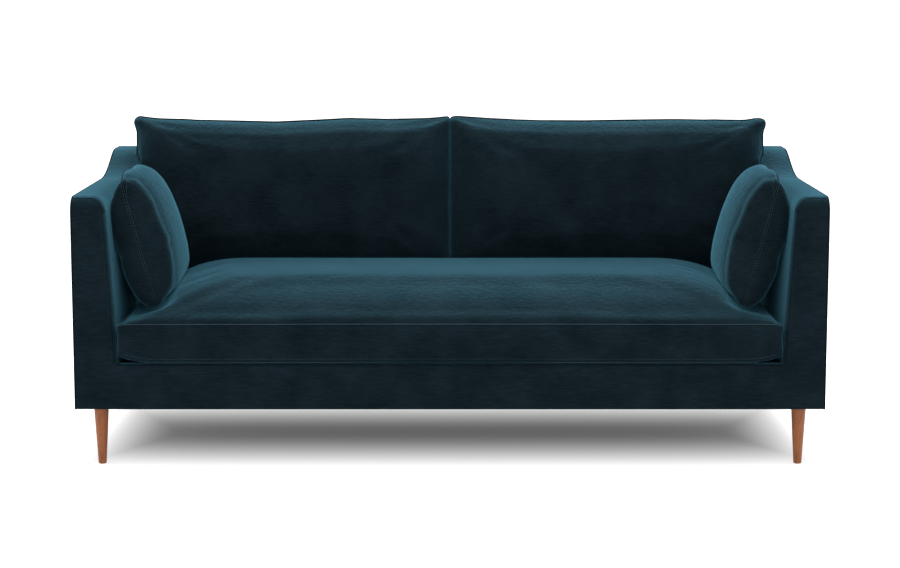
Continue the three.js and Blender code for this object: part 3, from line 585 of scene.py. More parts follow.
def evenly(course, pitch, closed=False):
    """Points along a course at an even pitch."""
    course = course + course[:1] if closed else course
    legs = [(b - a).length for a, b in zip(course, course[1:])]
    count = max(2, round(sum(legs) / pitch))
    step = sum(legs) / count
    places, walked, i = [], 0.0, 0
    for k in range(count if closed else count + 1):
        while i < len(legs) - 1 and walked + legs[i] < k * step:
            walked += legs[i]
            i += 1
        places.append(course[i].lerp(course[i + 1], min(1, (k * step - walked) / max(legs[i], 1e-9))))
    return places


def stitches(courses, pitch, radius):
    """Rows of straight stitches along closed courses, with gaps of a third of the pitch."""
    rows = [evenly(course, pitch, True) for course in courses]
    return tube([[a, a.lerp(b, STITCH_SHARE)] for row in rows for a, b in zip(row, row[1:])], radius)


def inset_course(course, distance):
    """Moves a course in the (y, z) plane to its right-hand side."""
    moved = []
    for i, p in enumerate(course):
        along = (course[min(i + 1, len(course) - 1)] - course[max(i - 1, 0)]).normalized()
        moved.append(p + Vector((0, along.z, -along.y)) * distance)
    return moved


# %% Welts round the arms
WELT = 0.003
outline = arm_outline()
outline.faces.ensure_lookup_table()
rim = [v.co.copy() for v in outline.faces[0].verts]
outline.free()
start = min(range(len(rim)), key=lambda i: (rim[i] - Vector((SIDE, FRONT, BASE))).length)
rim = rim[start:] + rim[:start]
if rim[1].z < BASE + 0.001:
    rim = [rim[0]] + list(reversed(rim[1:]))
welt_course = inset_course(rim, WELT)
welt_course[0].z = BASE
welt_course[-1].z = BASE
for p in welt_course:
    p.x = SIDE - WELT
pair("arm_welt_cord", tube([welt_course], WELT), piping, "piping", "arm_welt")

# %% [markdown]
# The front panel of an arm is sewn to the band that runs over its top. Seen from the front the seam turns
# round the inner corner and runs down the rolled inner edge. Rays sent back from the front find where the
# drawn line lies on the arm.

# %% Front seams of the arms
SEAM_HIGH = FLAT_TOP - 0.0053
OVER_DECK = 0.004
SEAM_INSET = 0.0075
CORNER_WIDE = 0.030
CORNER_TALL = 0.042
CORNER_STEPS = 12
SIDE_STEPS = 24


def front_line():
    """The seam as drawn on the front view, from the outer welt to the deck: (x, z) pairs."""
    foot = SEAM_HIGH - CORNER_TALL
    inner = arm_inside(foot) + SEAM_INSET
    line = [(SIDE - SEAM_INSET, SEAM_HIGH)]
    for i in range(CORNER_STEPS + 1):
        turn = math.radians(90 * i / CORNER_STEPS)
        x = inner + CORNER_WIDE * (1 - math.sin(turn))
        line.append((x, SEAM_HIGH - CORNER_TALL * (1 - math.cos(turn))))
    for i in range(1, SIDE_STEPS + 1):
        z = foot + (DECK + OVER_DECK - foot) * i / SIDE_STEPS
        line.append((arm_inside(z) + SEAM_INSET, z))
    return line


def on_front(x, z):
    """The point of the arm that is seen at (x, z) from the front."""
    hit = arm_tree.ray_cast(Vector((x, FRONT - 1, z)), Vector((0, 1, 0)))[0]
    return hit if hit is not None else Vector((x, FRONT, z))


front_seam = evenly([on_front(x, z) for x, z in front_line()], pitch=0.006)
pair("arm_front_seam", tube([front_seam], radius=0.0008), piping, "piping")

# %% [markdown]
# ## The back and the front rail
# Both are one strip of velvet folded over timber. A strip is easiest as a chain of edges for its section,
# rounded where it folds, and then pushed along the sofa.


# %% Folded strips
def folded_strip(section, folds, end, steps):
    """A skin with a section in the (y, z) plane, in steps across the sofa. end gives how far out it runs at
    a (y, z), on both sides, and folds are (corner, radius) pairs."""
    bm = bmesh.new()
    verts = [bm.verts.new((0, y, z)) for y, z in section]
    chain = [bm.edges.new(ends) for ends in zip(verts, verts[1:])]
    pushed = bmesh.ops.extrude_edge_only(bm, edges=chain)["geom"]
    bmesh.ops.translate(bm, vec=(1, 0, 0), verts=[g for g in pushed if isinstance(g, bmesh.types.BMVert)])
    for (y, z), radius in folds:
        fold = [e for e in bm.edges if all(abs(v.co.y - y) + abs(v.co.z - z) < 1e-5 for v in e.verts)]
        rounded(bm, fold, "EDGES", radius, 6)
    slice_up(bm, 0, 0, 1, 1 / steps)
    for vert in bm.verts:
        high = end(vert.co.y, vert.co.z)
        vert.co.x = -high + (high - -high) * vert.co.x
    bmesh.ops.remove_doubles(bm, verts=bm.verts, dist=SAME_POINT)
    bmesh.ops.recalc_face_normals(bm, faces=bm.faces)
    return bm


def face_outwards(bm, middle):
    """Turns a skin over if more of its faces point at its middle line, given as (y, z), than away."""
    votes = 0
    for face in bm.faces:
        centre = face.calc_center_median()
        votes += 1 if (centre - Vector((centre.x, *middle))).dot(face.normal) > 0 else -1
    if votes < 0:
        bmesh.ops.reverse_faces(bm, faces=bm.faces)


# %% Back
BACK_FACE = REAR - 0.0008
BACK_FOLD = 0.016
BACK_TUCK = 0.005
BACK_HEAD = 0.026
BACK_TOP_RIM = 0.02
BACK_RIM = 0.01
BACK_PITCH = 0.03
inside_top = (back_inside(CREST), CREST)
outside_top = (BACK_FACE, CREST)
back_section = [(back_inside(DECK_UNDER), DECK_UNDER), inside_top, outside_top, (BACK_FACE, BASE)]


def back_end(y, z):
    """The back's ends tuck in under the arms' covers, and run on over the arms' rolled edge at the top."""
    return arm_inside(z) + (BACK_HEAD if z > CREST - TOP_STRIP else BACK_TUCK)


def from_back_edges(p):
    """How far a point of the back's panels lies from their edges."""
    return min(arm_inside(p.z) - abs(p.x), CREST - BACK_TOP_RIM - p.z, p.z - BASE) - BACK_RIM


back_bm = folded_strip(back_section, ((inside_top, BACK_FOLD), (outside_top, BACK_FOLD)), back_end, steps=74)
face_outwards(back_bm, middle=(REAR - 0.05, 0.5))
slice_up(back_bm, 2, BASE, CREST, BACK_PITCH)
swell(back_bm, amount=0.003, reach=0.06, waver=0.0015, inside=from_back_edges)
wall(piece("back_upholstery", back_bm, velvet, "velvet", "frame", "back_cover"))

# A seam closes the joint between the outside back and each arm.
rear_seam = evenly([Vector((arm_inside(z), REAR, z)) for z in (BASE, CREST - 0.045)], pitch=0.01)
pair("rear_seam", tube([rear_seam], radius=0.0012), piping, "piping")

# %% [markdown]
# The rail's cover is folded tightly over the rail's top, and its ends are cut to the same mitre as the arms'
# fronts. A thin dark cord lies in the fold, just under the seat cushion, and shows there as a fine dark line.
# It is a painted shadow for the shaded crevice under the cushion's front.

# %% Front rail
RAIL_FACE = FRONT + 0.0002
RAIL_FOLD = 0.002
UNDER_RAIL = 0.022
LIP = FRONT + 0.040
FOOT_TURN = 0.012
RAIL_TUCK = 0.004
RAIL_TOP_TUCK = 0.003
RAIL_TOP_RIM = 0.012
# The point a little over the foot lets the ends turn there, from upright into the mitre's slant.
rail_section = [(FRONT + UNDER_RAIL, BASE), (RAIL_FACE, BASE), (RAIL_FACE, BASE + FOOT_TURN),
                (RAIL_FACE, DECK), (LIP, DECK)]


def rail_end(y, z):
    """The face runs on under the arm's foot as far as the mitre, and the top as far as the arm's roll."""
    across = ARM_INSIDE_LOW + (DECK - z) * mitre.x / -mitre.z
    unrolled = min(1, max(0, 1 - (y - FRONT) / ROLL_FOOT))
    turned = ROLL_FOOT * (1 - math.sqrt(1 - unrolled ** 2))
    if y < FRONT + ON_PANEL:
        return min(across + RAIL_TUCK, SIDE - COVER)
    return arm_inside(z) + turned + RAIL_TOP_TUCK


def from_rail_edges(p):
    """How far a point of the rail's face lies from its edges."""
    if p.y < FRONT + ON_PANEL:
        return min(rail_end(p.y, p.z) - abs(p.x), DECK - RAIL_TOP_RIM - p.z, p.z - BASE) - RAIL_TUCK
    return 0


rail_folds = (((RAIL_FACE, BASE), RAIL_FOLD), ((RAIL_FACE, DECK), RAIL_FOLD))
rail_bm = folded_strip(rail_section, rail_folds, rail_end, steps=80)
face_outwards(rail_bm, middle=(FRONT + 0.02, 0.22))
slice_up(rail_bm, 2, BASE, DECK, PANEL_PITCH)
swell(rail_bm, amount=0.0015, reach=0.03, waver=0.001, inside=from_rail_edges)
wall(piece("front_rail_upholstery", rail_bm, velvet, "velvet", "frame", "front_rail_cover"))
# A dark piping cord along the rail's top fold: a painted shadow line in the crevice under the cushion.
cord_ends = [Vector((x, RAIL_FACE + 0.0008, DECK + CLEAR)) for x in (-ARM_INSIDE_LOW, ARM_INSIDE_LOW)]
shadow_line_course = evenly(cord_ends, pitch=0.02)
piece("front_rail_shadow_line_cord", tube([shadow_line_course], radius=0.0020), piping, "piping", "frame")

# %% [markdown]
# ## The cushions
# A cushion is a sewn case blown up by its filling. The CAD's solid gives its size, and a plane through that
# solid gives the course of each seam. A copy is remeshed into small even quads, drawn in away from its
# seams, and inflated as cloth under pressure, with the seams pinned, so that the panels swell between them
# as real ones do. No point may move further than a cap. Then the case is fitted: bands of it are stretched
# until its outline runs as wanted, and no point may stay where a neighbour is.

# %% Where a seam runs
print("with cloth simulation")


def cut_loop(bm, centre, normal):
    """The longest closed course where a plane meets a mesh."""
    slab = bm.copy()
    cut = sliced(slab, centre, normal, only_cut=True)
    edges = {g: None for g in cut if isinstance(g, bmesh.types.BMEdge)}
    loops = []
    while edges:
        edge = next(iter(edges))
        del edges[edge]
        run = [edge.verts[0], edge.verts[1]]
        onward = next((e for e in run[-1].link_edges if e in edges), None)
        while onward is not None:
            del edges[onward]
            run.append(onward.other_vert(run[-1]))
            onward = next((e for e in run[-1].link_edges if e in edges), None)
        loops.append([v.co.copy() for v in run])
    slab.free()
    longest = max(loops, key=len)
    return longest[:-1] if (longest[0] - longest[-1]).length < SAME_POINT else longest


def evened(course, passes):
    """Smooths a closed course a little, so that a tube along it runs clean."""
    for _ in range(passes):
        onward = course[1:] + course[:1]
        course = [(course[i - 1] + p * 2 + onward[i]) / 4 for i, p in enumerate(course)]
    return course


def distance_to(courses):
    """A function that gives how far a point is from the nearest of some closed courses."""
    points = [p for course in courses for p in evenly(course, pitch=0.002, closed=True)]
    tree = kdtree.KDTree(len(points))
    for i, p in enumerate(points):
        tree.insert(p, i)
    tree.balance()
    return lambda p: tree.find(p)[2]


# %% Cushion maker
FRAMES = 20
PINNED = 0.006
SEAM_REACH = 0.035


def applied(made):
    """The object's mesh with its modifiers applied."""
    bpy.context.view_layer.update()
    seen = made.evaluated_get(bpy.context.evaluated_depsgraph_get())
    return bpy.data.meshes.new_from_object(seen)


def remeshed(bm, name, voxel):
    """An object with the mesh rebuilt from small even quads, and relaxed."""
    mesh = bpy.data.meshes.new(name)
    bm.to_mesh(mesh)
    case = placed(name, mesh)
    remesh = case.modifiers.new("even", "REMESH")
    remesh.mode = "VOXEL"
    remesh.voxel_size = voxel
    relax = case.modifiers.new("relax", "SMOOTH")
    relax.factor = 0.5
    relax.iterations = 8
    case.data = applied(case)
    case.modifiers.clear()
    return case


def blow_up(case, pressure, from_seam):
    """Inflates the case as cloth under pressure, pinned along its seams."""
    group = case.vertex_groups.new(name="seam")
    group.add([v.index for v in case.data.vertices if from_seam(v.co) < PINNED], 1.0, "REPLACE")
    cloth = case.modifiers.new("filling", "CLOTH")
    cloth.settings.use_pressure = True
    cloth.settings.uniform_pressure_force = pressure
    cloth.settings.effector_weights.gravity = 0
    cloth.settings.vertex_group_mass = "seam"
    cloth.settings.tension_stiffness = 15
    cloth.settings.compression_stiffness = 15
    cloth.settings.bending_stiffness = 2
    cloth.point_cache.frame_start = 1
    cloth.point_cache.frame_end = FRAMES
    for i in range(1, FRAMES + 1):
        bpy.context.scene.frame_set(i)
    case.data = applied(case)
    case.modifiers.clear()
    case.vertex_groups.clear()
    bpy.context.scene.frame_set(1)


def cushion(node_name, seam_planes, voxel, draw_in, pressure, cap, shaped=lambda p: p):
    """A blown-up case as a bmesh. seam_planes are (point, normal) pairs, and shaped moves the CAD solid's
    points to their true form before the cushion is filled."""
    source = bmesh.new()
    source.from_mesh(frame["nodes"][node_name].data)
    bmesh.ops.remove_doubles(source, verts=source.verts, dist=SAME_POINT)
    from_seam = distance_to([cut_loop(source, *plane) for plane in seam_planes])
    solid = bvhtree.BVHTree.FromBMesh(source)
    case = remeshed(source, node_name + "_case", voxel)
    source.free()
    bm = bmesh.new()
    bm.from_mesh(case.data)
    bm.normal_update()
    for vert in bm.verts:
        slack = min(1, from_seam(vert.co) / SEAM_REACH)
        place = solid.find_nearest(vert.co)[0].lerp(vert.co, slack)
        vert.co = shaped(place) - vert.normal * draw_in * slack * slack
    bm.to_mesh(case.data)
    bm.free()
    rest = [v.co.copy() for v in case.data.vertices]
    blow_up(case, pressure, from_seam)
    moves = [(v.co - before).length for v, before in zip(case.data.vertices, rest)]
    print(node_name, len(rest), "points, moved on average", round(sum(moves) / len(moves), 4),
          "and at most", round(max(moves), 4))
    bm = bmesh.new()
    bm.from_mesh(case.data)
    bpy.data.objects.remove(case)
    for vert, before, move in zip(bm.verts, rest, moves):
        vert.co = before.lerp(vert.co, min(1, cap / max(move, 1e-9)))
    for _ in range(4):
        bmesh.ops.smooth_vert(bm, verts=bm.verts, factor=0.5, use_axis_x=True, use_axis_y=True,
                              use_axis_z=True)
    return bm


# %% Fitting a cushion
STEP = 0.012


def reach_line(bm, axis, way, along):
    """How far a mesh reaches one way along an axis, as (place, reach) points at steps along another axis."""
    reach = {}
    for vert in bm.verts:
        key = round(abs(vert.co[along]) / STEP)
        reach[key] = max(reach.get(key, -9), way * vert.co[axis])
    return [(key * STEP, sum(reach.get(k, reach[key]) for k in (key - 1, key, key + 1)) / 3)
            for key in sorted(reach)]


def fitted(bm, axis, way, along, target, band):
    """Stretches a mesh's outer band one way along an axis, so that its reach there follows a target."""
    line = reach_line(bm, axis, way, along)
    for vert in bm.verts:
        now = along_points(line, abs(vert.co[along]))
        share = soft_step((way * vert.co[axis] - now + band) / band)
        vert.co[axis] += (target(abs(vert.co[along])) - way * now) * share


def seam_ridge(bm, courses, height, width):
    """Raises the cloth along a seam, or sinks it where the height is negative."""
    from_seam = distance_to(courses)
    bm.normal_update()
    moves = {}
    for vert in bm.verts:
        share = from_seam(vert.co) / width
        if share < 1:
            moves[vert] = vert.normal * height * soft_step(1 - share)
    for vert, move in moves.items():
        vert.co += move


# %% [markdown]
# ### The bench seat cushion
# It fills the seat from arm to arm. Two sewn seams run round it, with a band between them, and the filling
# crowns the top panel: steeply at the front and rear, and in a long roll towards both ends. A crown this
# regular is a formula, which smooths the remeshed case. The corners stay square, the front hangs a little
# over the rail, the lower corners lift off the platform, and each pillow leaves a dent.

# %% Shape of the seat
TOP_SEAM = 0.386
LOW_SEAM = 0.300
CROWN_RISE = 0.111
CROWN_POWER = 3.5
END_ROLL = 0.250
END_POWER = 2.2
FRONT_ROLL = 0.014
FRONT_FADE = 0.10
SEAT_SIDE = [(DECK, 0.8660), (0.290, 0.8770), (0.305, 0.8825), (0.343, 0.8840), (TOP_SEAM, 0.8795)]
HEM = 0.2825
HEM_TOP = 0.350
CORNER_PLAN = 0.050
OVERHANG = 0.007
LIFT = 0.020
LIFT_FROM = 0.789
LIFT_OVER = 0.090
DENT = 0.022
DENT_EDGE = 0.060
DENT_FROM = 0.785
DENT_MIDDLE = -0.175
DENT_HALF = 0.170
BAND_FADE = 0.040
ARM_GAP = 0.0012
WALL_GAP = 0.001
seat_low, seat_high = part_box("seat_cushion")
up = Vector((0, 0, 1))


def crown(x, y):
    """The height of the seat's crown at a point."""
    half_y = (seat_high.y - seat_low.y) / 2
    from_end = min(1, max(0, (seat_high.x - abs(x)) / END_ROLL))
    from_side = min(1, max(0, 1 - abs(y - (seat_high.y + seat_low.y) / 2) / half_y))
    rise = CROWN_RISE * (1 - (1 - from_side) ** CROWN_POWER)
    deep = max(0, y - seat_low.y)
    rise += FRONT_ROLL * (1 - math.exp(-deep / FRONT_ROLL)) * math.exp(-deep / FRONT_FADE)
    return TOP_SEAM + rise * (1 - (1 - from_end) ** END_POWER)


def crowned(p):
    """Lays a point of the top panel on the crown."""
    share = min(1, max(0, (p.z - TOP_SEAM - 0.002) / 0.008))
    return Vector((p.x, p.y, p.z + (crown(p.x, p.y) - p.z) * share))


def seat_side(z):
    """How far the seat's ends reach at a height."""
    return along_points(SEAT_SIDE, z)


def corner_lift(x):
    """How much higher the lower seam and the underside run near the seat's ends."""
    return LIFT * max(0, (abs(x) - LIFT_FROM) / LIFT_OVER) ** 2


def in_seat_well(p):
    """Brings the lower seam down to its line, and keeps a point between the arms and over the platform."""
    lift = corner_lift(p.x)
    cut, hem, under = LOW_SEAM + lift, HEM + lift, DECK + lift * 0.9
    if p.z < cut:
        p.z = under + (p.z - DECK) * (hem - under) / (cut - DECK)
    elif p.z < HEM_TOP:
        p.z = hem + (p.z - cut) * (HEM_TOP - hem) / (HEM_TOP - cut)
    side = arm_inside(p.z) - ARM_GAP
    rear = back_inside(p.z) - WALL_GAP
    return Vector((max(-side, min(side, p.x)), min(p.y, rear), max(p.z, DECK + CLEAR)))


def squared(p):
    """Pushes a point of the band outwards near the seat's upright corners, which a box cushion keeps tight,
    and forwards along the front, where the band hangs a little over the rail."""
    share = soft_step((TOP_SEAM + BAND_FADE - p.z) / BAND_FADE)
    corner_x, corner_y = seat_side(p.z) - CORNER_PLAN, seat_low.y + CORNER_PLAN
    off = Vector((max(0, abs(p.x) - corner_x), max(0, corner_y - p.y))) / CORNER_PLAN
    if min(off) > 0:
        grown = off.length / (off.x ** 4 + off.y ** 4) ** 0.25 - 1
        p.x += math.copysign(off.x * CORNER_PLAN * grown * share, p.x)
        p.y -= off.y * CORNER_PLAN * grown * share
    p.y -= OVERHANG * share * soft_step((seat_low.y + 0.07 - p.y) / 0.05)
    return p


def dented(p):
    """Sinks the crown a little where a pillow stands on it."""
    off = Vector((max(0, DENT_FROM - abs(p.x)), max(0, abs(p.y - DENT_MIDDLE) - DENT_HALF)))
    return p - up * DENT * soft_step(1 - off.length / DENT_EDGE) * soft_step((p.z - TOP_SEAM - 0.005) / 0.030)


# %% Seat cushion
seat_bm = cushion("seat_cushion", [(up * TOP_SEAM, up), (up * LOW_SEAM, up)], voxel=0.0105, draw_in=0.006,
                  pressure=1.6, cap=0.007, shaped=crowned)
end_line = reach_line(seat_bm, 0, 1, 2)
for vert in seat_bm.verts:
    if vert.co.z < TOP_SEAM:
        stretch = seat_side(vert.co.z) - along_points(end_line, vert.co.z)
        vert.co.x += math.copysign(stretch * soft_step((abs(vert.co.x) - 0.80) / 0.07), vert.co.x)
    vert.co = in_seat_well(dented(squared(vert.co)))
level_tree = bvhtree.BVHTree.FromBMesh(seat_bm)


def bench_course(z):
    """A course round the cushion at a height, which rises with its lower corners."""
    level = evened(cut_loop(seat_bm, up * z, up), 4)
    return [level_tree.find_nearest(p + up * corner_lift(p.x))[0] for p in level]


top_seam = evened(cut_loop(seat_bm, up * TOP_SEAM, up), 4)
low_seam = bench_course(HEM + 0.0005)
low_stitch = bench_course(HEM + 0.0105)
seam_ridge(seat_bm, [top_seam], height=-0.002, width=0.012)
seam_ridge(seat_bm, [low_stitch], height=-0.001, width=0.008)
seat_tree = bvhtree.BVHTree.FromBMesh(seat_bm)
seat = piece("bench_cushion", seat_bm, velvet, "velvet", "seat", "seat_cushion")
# The seam ridges are real tubes, coloured paler than the cloth: a painted highlight along both seams.
piece("bench_seam_ridges", tube([top_seam, low_seam], 0.0014, True), seam_painted_highlight, "piping", "seat")
piece("bench_stitches", stitches([low_stitch], pitch=0.009, radius=0.0005), thread, "piping", "seat")


def over_bench(p):
    """Lifts a point that would be inside the bench cushion on to its crown."""
    hit = seat_tree.ray_cast(Vector((p.x, p.y, 1.5)), Vector((0, 0, -1)))[0]
    return p if hit is None else Vector((p.x, p.y, max(p.z, hit.z + 2 * CLEAR)))


# %% [markdown]
# ### The back cushions
# Each is two panels sewn together round their edge, so it is thick in the middle, and its corners stay as
# ears. It stands on the bench cushion and leans on the back. The left one starts as the right one's mirror
# image, and each has a top edge of its own. The cloth is drawn up along the seam, with a cord in it.

# %% Back cushions
LEAN = math.radians(8)
HALF_GAP = 0.0016
CORD = 0.0026
CORD_OUT = 0.0018
UNDER_CORD = 0.0075
BACK_SIDE = [(0.766, 0.9220), (0.836, 0.9210), (0.856, 0.9260), (0.870, 0.9305), (0.880, 0.9290),
             (0.886, 0.9200), (0.892, 0.9100)]
# How high each back cushion's top edge runs: (distance from the middle of the sofa, height) points.
TOP_EDGES = {
    "left": [(0, 0.884), (0.008, 0.888), (0.030, 0.885), (0.070, 0.882), (0.160, 0.880), (0.300, 0.883),
             (0.385, 0.878), (0.515, 0.872), (0.650, 0.876), (0.740, 0.878), (0.860, 0.882),
             (0.900, 0.886), (0.915, 0.888), (0.928, 0.882)],
    "right": [(0, 0.884), (0.0145, 0.890), (0.040, 0.887), (0.135, 0.881), (0.270, 0.8765),
              (0.400, 0.8755), (0.575, 0.8785), (0.665, 0.880), (0.800, 0.878), (0.875, 0.8775),
              (0.908, 0.884), (0.925, 0.879)]}


def middle_of(points):
    return sum(points, Vector((0, 0, 0))) / len(points)


lean_normal = Vector((0, math.cos(LEAN), -math.sin(LEAN)))
points = [v.co for v in frame["nodes"]["back_cushion_right"].data.vertices]
reach = max(p.x + p.z for p in points)
ear = middle_of([p for p in points if p.x + p.z > reach - 0.003])
print("ear at", [round(v, 4) for v in ear])


def behind_bench(p):
    """Keeps a point over the bench, in front of the back, inside the arms and off the other cushion."""
    p = over_bench(p)
    side = arm_inside(p.z) - WALL_GAP if p.z < CREST - 0.022 else 1
    deep = back_inside(p.z) - WALL_GAP if p.z < CREST - 0.005 else 1
    return Vector((min(max(p.x, HALF_GAP), side), min(p.y, deep), p.z))


def back_side(z):
    """How far out a back cushion reaches at a height: flat against the arm, and then out into the ear."""
    return arm_inside(z) + 0.012 if z < BACK_SIDE[0][0] else along_points(BACK_SIDE, z)


def cord_place(p, heart, way):
    """Where a point of the seam goes: a little outwards, but not over to the other cushion."""
    p = p + (p - heart).normalized() * CORD_OUT
    return Vector((way * max(way * p.x, CORD + CLEAR / 2), p.y, p.z))


back_bm = cushion("back_cushion_right", [(ear, lean_normal)], voxel=0.0085, draw_in=0.006, pressure=2.0,
                  cap=0.006)
fitted(back_bm, 0, 1, 2, back_side, band=0.09)
fitted(back_bm, 0, -1, 2, lambda z: -0.006, band=0.06)
for vert in back_bm.verts:
    vert.co = behind_bench(vert.co)
for side_name, way, bm in (("left", -1, mirrored(back_bm)), ("right", 1, back_bm)):
    fitted(bm, 2, 1, 0, lambda x: along_points(TOP_EDGES[side_name], x) - UNDER_CORD, band=0.10)
    seam_ridge(bm, [cut_loop(bm, ear, lean_normal)], height=0.0035, width=0.014)
    seam = evened(cut_loop(bm, ear, lean_normal), 3)
    heart = middle_of(seam)
    seam = [cord_place(p, heart, way) for p in seam]
    made = piece("back_cushion_case_" + side_name, bm, velvet, "velvet", "back_" + side_name,
                 "back_cushion_" + side_name)
    piece("back_cushion_seam_" + side_name, tube([seam], CORD, True), piping, "piping", "back_" + side_name)

# %% [markdown]
# ### The arm pillows
# A small feather pillow leans on each arm and sinks into the bench cushion. Its front seam is topstitched:
# a row of stitches runs on each side of it. Seen from the front, the pillow's end has a soft but clear edge
# where it turns into the panel that faces the seat. Rays find that edge on the case, and the cloth is
# raised along it.

# %% Shape of the arm pillows
TILT = math.radians(15)
SEAM_MIDDLE = (0.8355, 0.599)
# The soft edge round the pillow's front, as seen from the front: (x, z) points.
FRONT_EDGE = [(0.846, 0.748), (0.829, 0.729), (0.808, 0.700), (0.789, 0.648), (0.768, 0.599), (0.757, 0.540),
              (0.757, 0.480), (0.778, 0.440), (0.815, 0.437), (0.868, 0.505), (0.893, 0.600), (0.896, 0.680),
              (0.882, 0.735), (0.864, 0.749)]
# How much slimmer its ends are than its middle, at a height, on the side that faces the seat.
SLIMMER = [(0.42, 0.008), (0.50, 0.016), (0.60, 0.030), (0.70, 0.036)]
# How low its lower edge reaches, at a distance behind or before the middle of the sofa.
FOOT = [(0, 0.430), (0.18, 0.424), (0.34, 0.4195), (0.37, 0.424)]
tilt_normal = Vector((math.cos(TILT), 0, -math.sin(TILT)))
points = [v.co for v in frame["nodes"]["arm_pillow_right"].data.vertices]
middle_y = sum(p.y for p in points) / len(points)
most_forward = min(p.y for p in points)
front_middle = middle_of([p for p in points if p.y < most_forward + 0.001])
front_middle.x = SEAM_MIDDLE[0] + (front_middle.z - SEAM_MIDDLE[1]) * math.tan(TILT)
print("pillow's front seam at", [round(v, 4) for v in front_middle])


def beside_arm(p):
    """Keeps a point over the bench and off the arm."""
    p = over_bench(p)
    side = arm_inside(p.z) - WALL_GAP if p.z < FLAT_TOP else 1
    return Vector((min(p.x, side), p.y, p.z))


def full_ends(p):
    """Fills out the pillow's two ends on the side that leans on the arm, and slims its other side evenly
    towards both ends, most of all at the top."""
    side = (p - front_middle).dot(tilt_normal)
    from_middle = abs(p.y - middle_y)
    if side > 0:
        share = soft_step(side / 0.05) * soft_step((from_middle - 0.13) / 0.05)
        wider = 0.014 + 0.08 * max(0, p.z - 0.55)
    else:
        share = soft_step(-side / 0.04) * min(1, from_middle / 0.195) ** 1.5
        wider = along_points(SLIMMER, p.z)
    taller = 0.010 * soft_step((p.z - 0.66) / 0.10)
    return p + Vector((wider * share, math.copysign(0.003 * share, p.y - middle_y), taller))


# %% Arm pillows
ROW_OFF = 0.0025
pillow_bm = cushion("arm_pillow_right", [(front_middle, tilt_normal)], voxel=0.0068, draw_in=0.003,
                    pressure=2.4, cap=0.008, shaped=full_ends)
fitted(pillow_bm, 2, -1, 1, lambda y: along_points(FOOT, y), band=0.10)
pillow_tree = bvhtree.BVHTree.FromBMesh(pillow_bm)
hits = [pillow_tree.ray_cast(Vector((x, FRONT - 1, z)), Vector((0, 1, 0)))[0] for x, z in FRONT_EDGE]
seam_ridge(pillow_bm, [[hit for hit in hits if hit is not None]], height=0.006, width=0.028)
for vert in pillow_bm.verts:
    vert.co = beside_arm(vert.co)
pillow_seam, *rows = [evened(cut_loop(pillow_bm, front_middle + tilt_normal * shift, tilt_normal), 4)
                      for shift in (0, -ROW_OFF, ROW_OFF)]
seam_ridge(pillow_bm, [pillow_seam], height=-0.0012, width=0.008)
right_parts = [pillow_bm, tube([pillow_seam], 0.0008, True), stitches(rows, pitch=0.008, radius=0.0007)]
for side_name, parts in (("left", [mirrored(part) for part in right_parts]), ("right", right_parts)):
    body = "pillow_" + side_name
    made = piece("arm_pillow_case_" + side_name, parts[0], velvet, "velvet", body, "arm_pillow_" + side_name)
    piece("arm_pillow_seam_" + side_name, parts[1], piping, "piping", body)
    piece("arm_pillow_stitches_" + side_name, parts[2], thread, "piping", body)

# %% [markdown]
# ## The legs
# A turned leg is its half profile spun about its axis: a straight taper from 40 mm at the top to 22 mm at
# the floor, with a softened foot and a bore for the hanger bolt.

# %% Turned legs
LEG_TOP = 0.020
LEG_FOOT = 0.01085
TOP_EDGE = 0.0015
FOOT_EDGE = 0.002
BORE = 0.0043
BORE_DEEP = 0.030
leg_profile = [(0, 0), (LEG_FOOT - FOOT_EDGE, 0), (LEG_FOOT, FOOT_EDGE), (LEG_TOP, BASE - TOP_EDGE),
               (LEG_TOP - TOP_EDGE, BASE), (BORE, BASE), (BORE, BASE - BORE_DEEP), (0, BASE - BORE_DEEP)]
for end in ("front_left", "front_right", "back_left", "back_right"):
    low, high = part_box("leg_" + end)
    bm = bmesh.new()
    verts = [bm.verts.new((r, 0, z)) for r, z in leg_profile]
    edges = [bm.edges.new(ends) for ends in zip(verts, verts[1:])]
    bmesh.ops.spin(bm, geom=verts + edges, cent=(0, 0, 0), axis=(0, 0, 1), angle=math.tau, steps=56,
                   use_merge=True)
    bmesh.ops.remove_doubles(bm, verts=bm.verts, dist=SAME_POINT)
    bmesh.ops.recalc_face_normals(bm, faces=bm.faces)
    bmesh.ops.translate(bm, vec=((low.x + high.x) / 2, (low.y + high.y) / 2, 0), verts=bm.verts)
    leg = piece("turned_leg_" + end, bm, walnut, "walnut", "frame", "leg_" + end)
    sharp = leg.modifiers.new("edges", "BEVEL")
    sharp.width = 0.0005
    sharp.segments = 2
    sharp.limit_method = "ANGLE"
    sharp.angle_limit = math.radians(40)

# %% [markdown]
# ## The camera, the floor and the light
# The photograph was taken from straight in front with a long lens, some 5.8 m away and 1.3 m up, tilted
# down by 8.2 degrees. The pale floor is a plain surface that shows as white to the camera. Its glow is
# dimmed under and round the sofa, which paints a shadow there on top of the shadow that the lamps cast.
# A large soft lamp hangs above, and the white world fills in.

# %% Camera
camera_data = bpy.data.cameras.new("camera")
camera_data.lens = 88.18
camera_data.sensor_width = 36
camera = placed("camera", camera_data)
camera.location = (0, -6.2126, 1.3251)
camera.rotation_euler = (math.radians(90 - 8.2), 0, 0)
bpy.context.scene.camera = camera


# %% Floor
def background_rays(tree):
    """1 for rays that see the background: from the camera, off a gloss or through something clear. 0 for
    rays that only carry light."""
    rays = node(tree, "ShaderNodeLightPath").outputs
    shown = rays["Is Camera Ray"]
    for kind in ("Is Glossy Ray", "Is Transmission Ray"):
        shown = node(tree, "ShaderNodeMath", {"operation": "MAXIMUM"}, i0=shown, i1=rays[kind]).outputs[0]
    return shown


bm = bmesh.new()
bmesh.ops.create_grid(bm, x_segments=1, y_segments=1, size=30)
floor_mesh = bpy.data.meshes.new("floor")
bm.to_mesh(floor_mesh)
bm.free()
floor = placed("floor", floor_mesh)
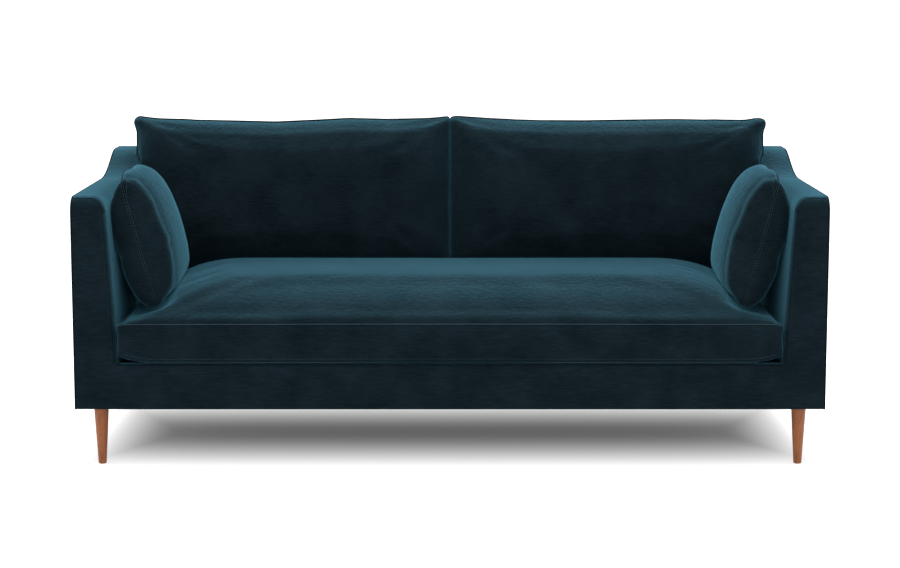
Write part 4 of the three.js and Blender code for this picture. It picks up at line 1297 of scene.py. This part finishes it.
# Matt white paper: it glows white to the camera, but its glow drops in a soft rectangle round the sofa's
# footprint. That is a painted shadow, on top of the shadow that the lamps really cast.
paper, paper_tree, paper_shader = blank("white_paper_with_painted_shadow")
place = node(paper_tree, "ShaderNodeTexCoord").outputs["Object"]
spot = node(paper_tree, "ShaderNodeSeparateXYZ", Vector=place)
far = []
for axis, near, clear in (("X", 0.78, 1.12), ("Y", 0.02, 0.66)):
    size = node(paper_tree, "ShaderNodeMath", {"operation": "ABSOLUTE"}, i0=spot.outputs[axis])
    away = node(paper_tree, "ShaderNodeMapRange", {"interpolation_type": "SMOOTHSTEP"}, Value=size.outputs[0],
                From_Min=near, From_Max=clear)
    far.append(away.outputs["Result"])
outside_painted_shadow = node(paper_tree, "ShaderNodeMath", {"operation": "MAXIMUM"}, i0=far[0], i1=far[1])
# Near the sofa the glow falls to 0.085, which paints the shadow under it darker than the lamps alone make it.
shown = node(paper_tree, "ShaderNodeMapRange", Value=outside_painted_shadow.outputs[0], To_Min=0.085, To_Max=1.0)
painted_shadow_glow = node(paper_tree, "ShaderNodeMath", {"operation": "MULTIPLY"}, i0=background_rays(paper_tree),
            i1=shown.outputs["Result"])
feed(paper_shader, Base_Color=linear("#d8d8d8"), Roughness=0.9, Specular_IOR_Level=0.0,
     Emission_Color=linear("#ffffff"), Emission_Strength=painted_shadow_glow.outputs[0])
floor_mesh.materials.append(paper)
floor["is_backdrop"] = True

# %% World and lamps
world = bpy.data.worlds.new("studio")
bpy.context.scene.world = world
world.use_nodes = True
sky = world.node_tree
sky.nodes.clear()
level = node(sky, "ShaderNodeMapRange", Value=background_rays(sky), To_Min=0.85, To_Max=1.0)
light = node(sky, "ShaderNodeBackground", Color=linear("#ffffff"), Strength=level.outputs["Result"])
node(sky, "ShaderNodeOutputWorld", Surface=light.outputs["Background"])


def softbox(name, place, aim, size, power):
    data = bpy.data.lights.new(name, "AREA")
    data.shape = "RECTANGLE"
    data.size, data.size_y = size
    data.energy = power
    lamp = placed(name, data)
    lamp.location = place
    lamp.rotation_euler = (Vector(aim) - Vector(place)).to_track_quat("-Z", "Y").to_euler()


softbox("overhead", (0, 0.2, 3.4), (0, 0, 0.4), (4.0, 2.6), 34)
softbox("behind", (0, 1.8, 2.6), (0, -0.2, 0.5), (4.0, 1.2), 98)
bpy.context.scene.view_settings.view_transform = "Standard"

# %% Size of the whole scene
low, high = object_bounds()
print("scene box", [round(v, 3) for v in low], [round(v, 3) for v in high])
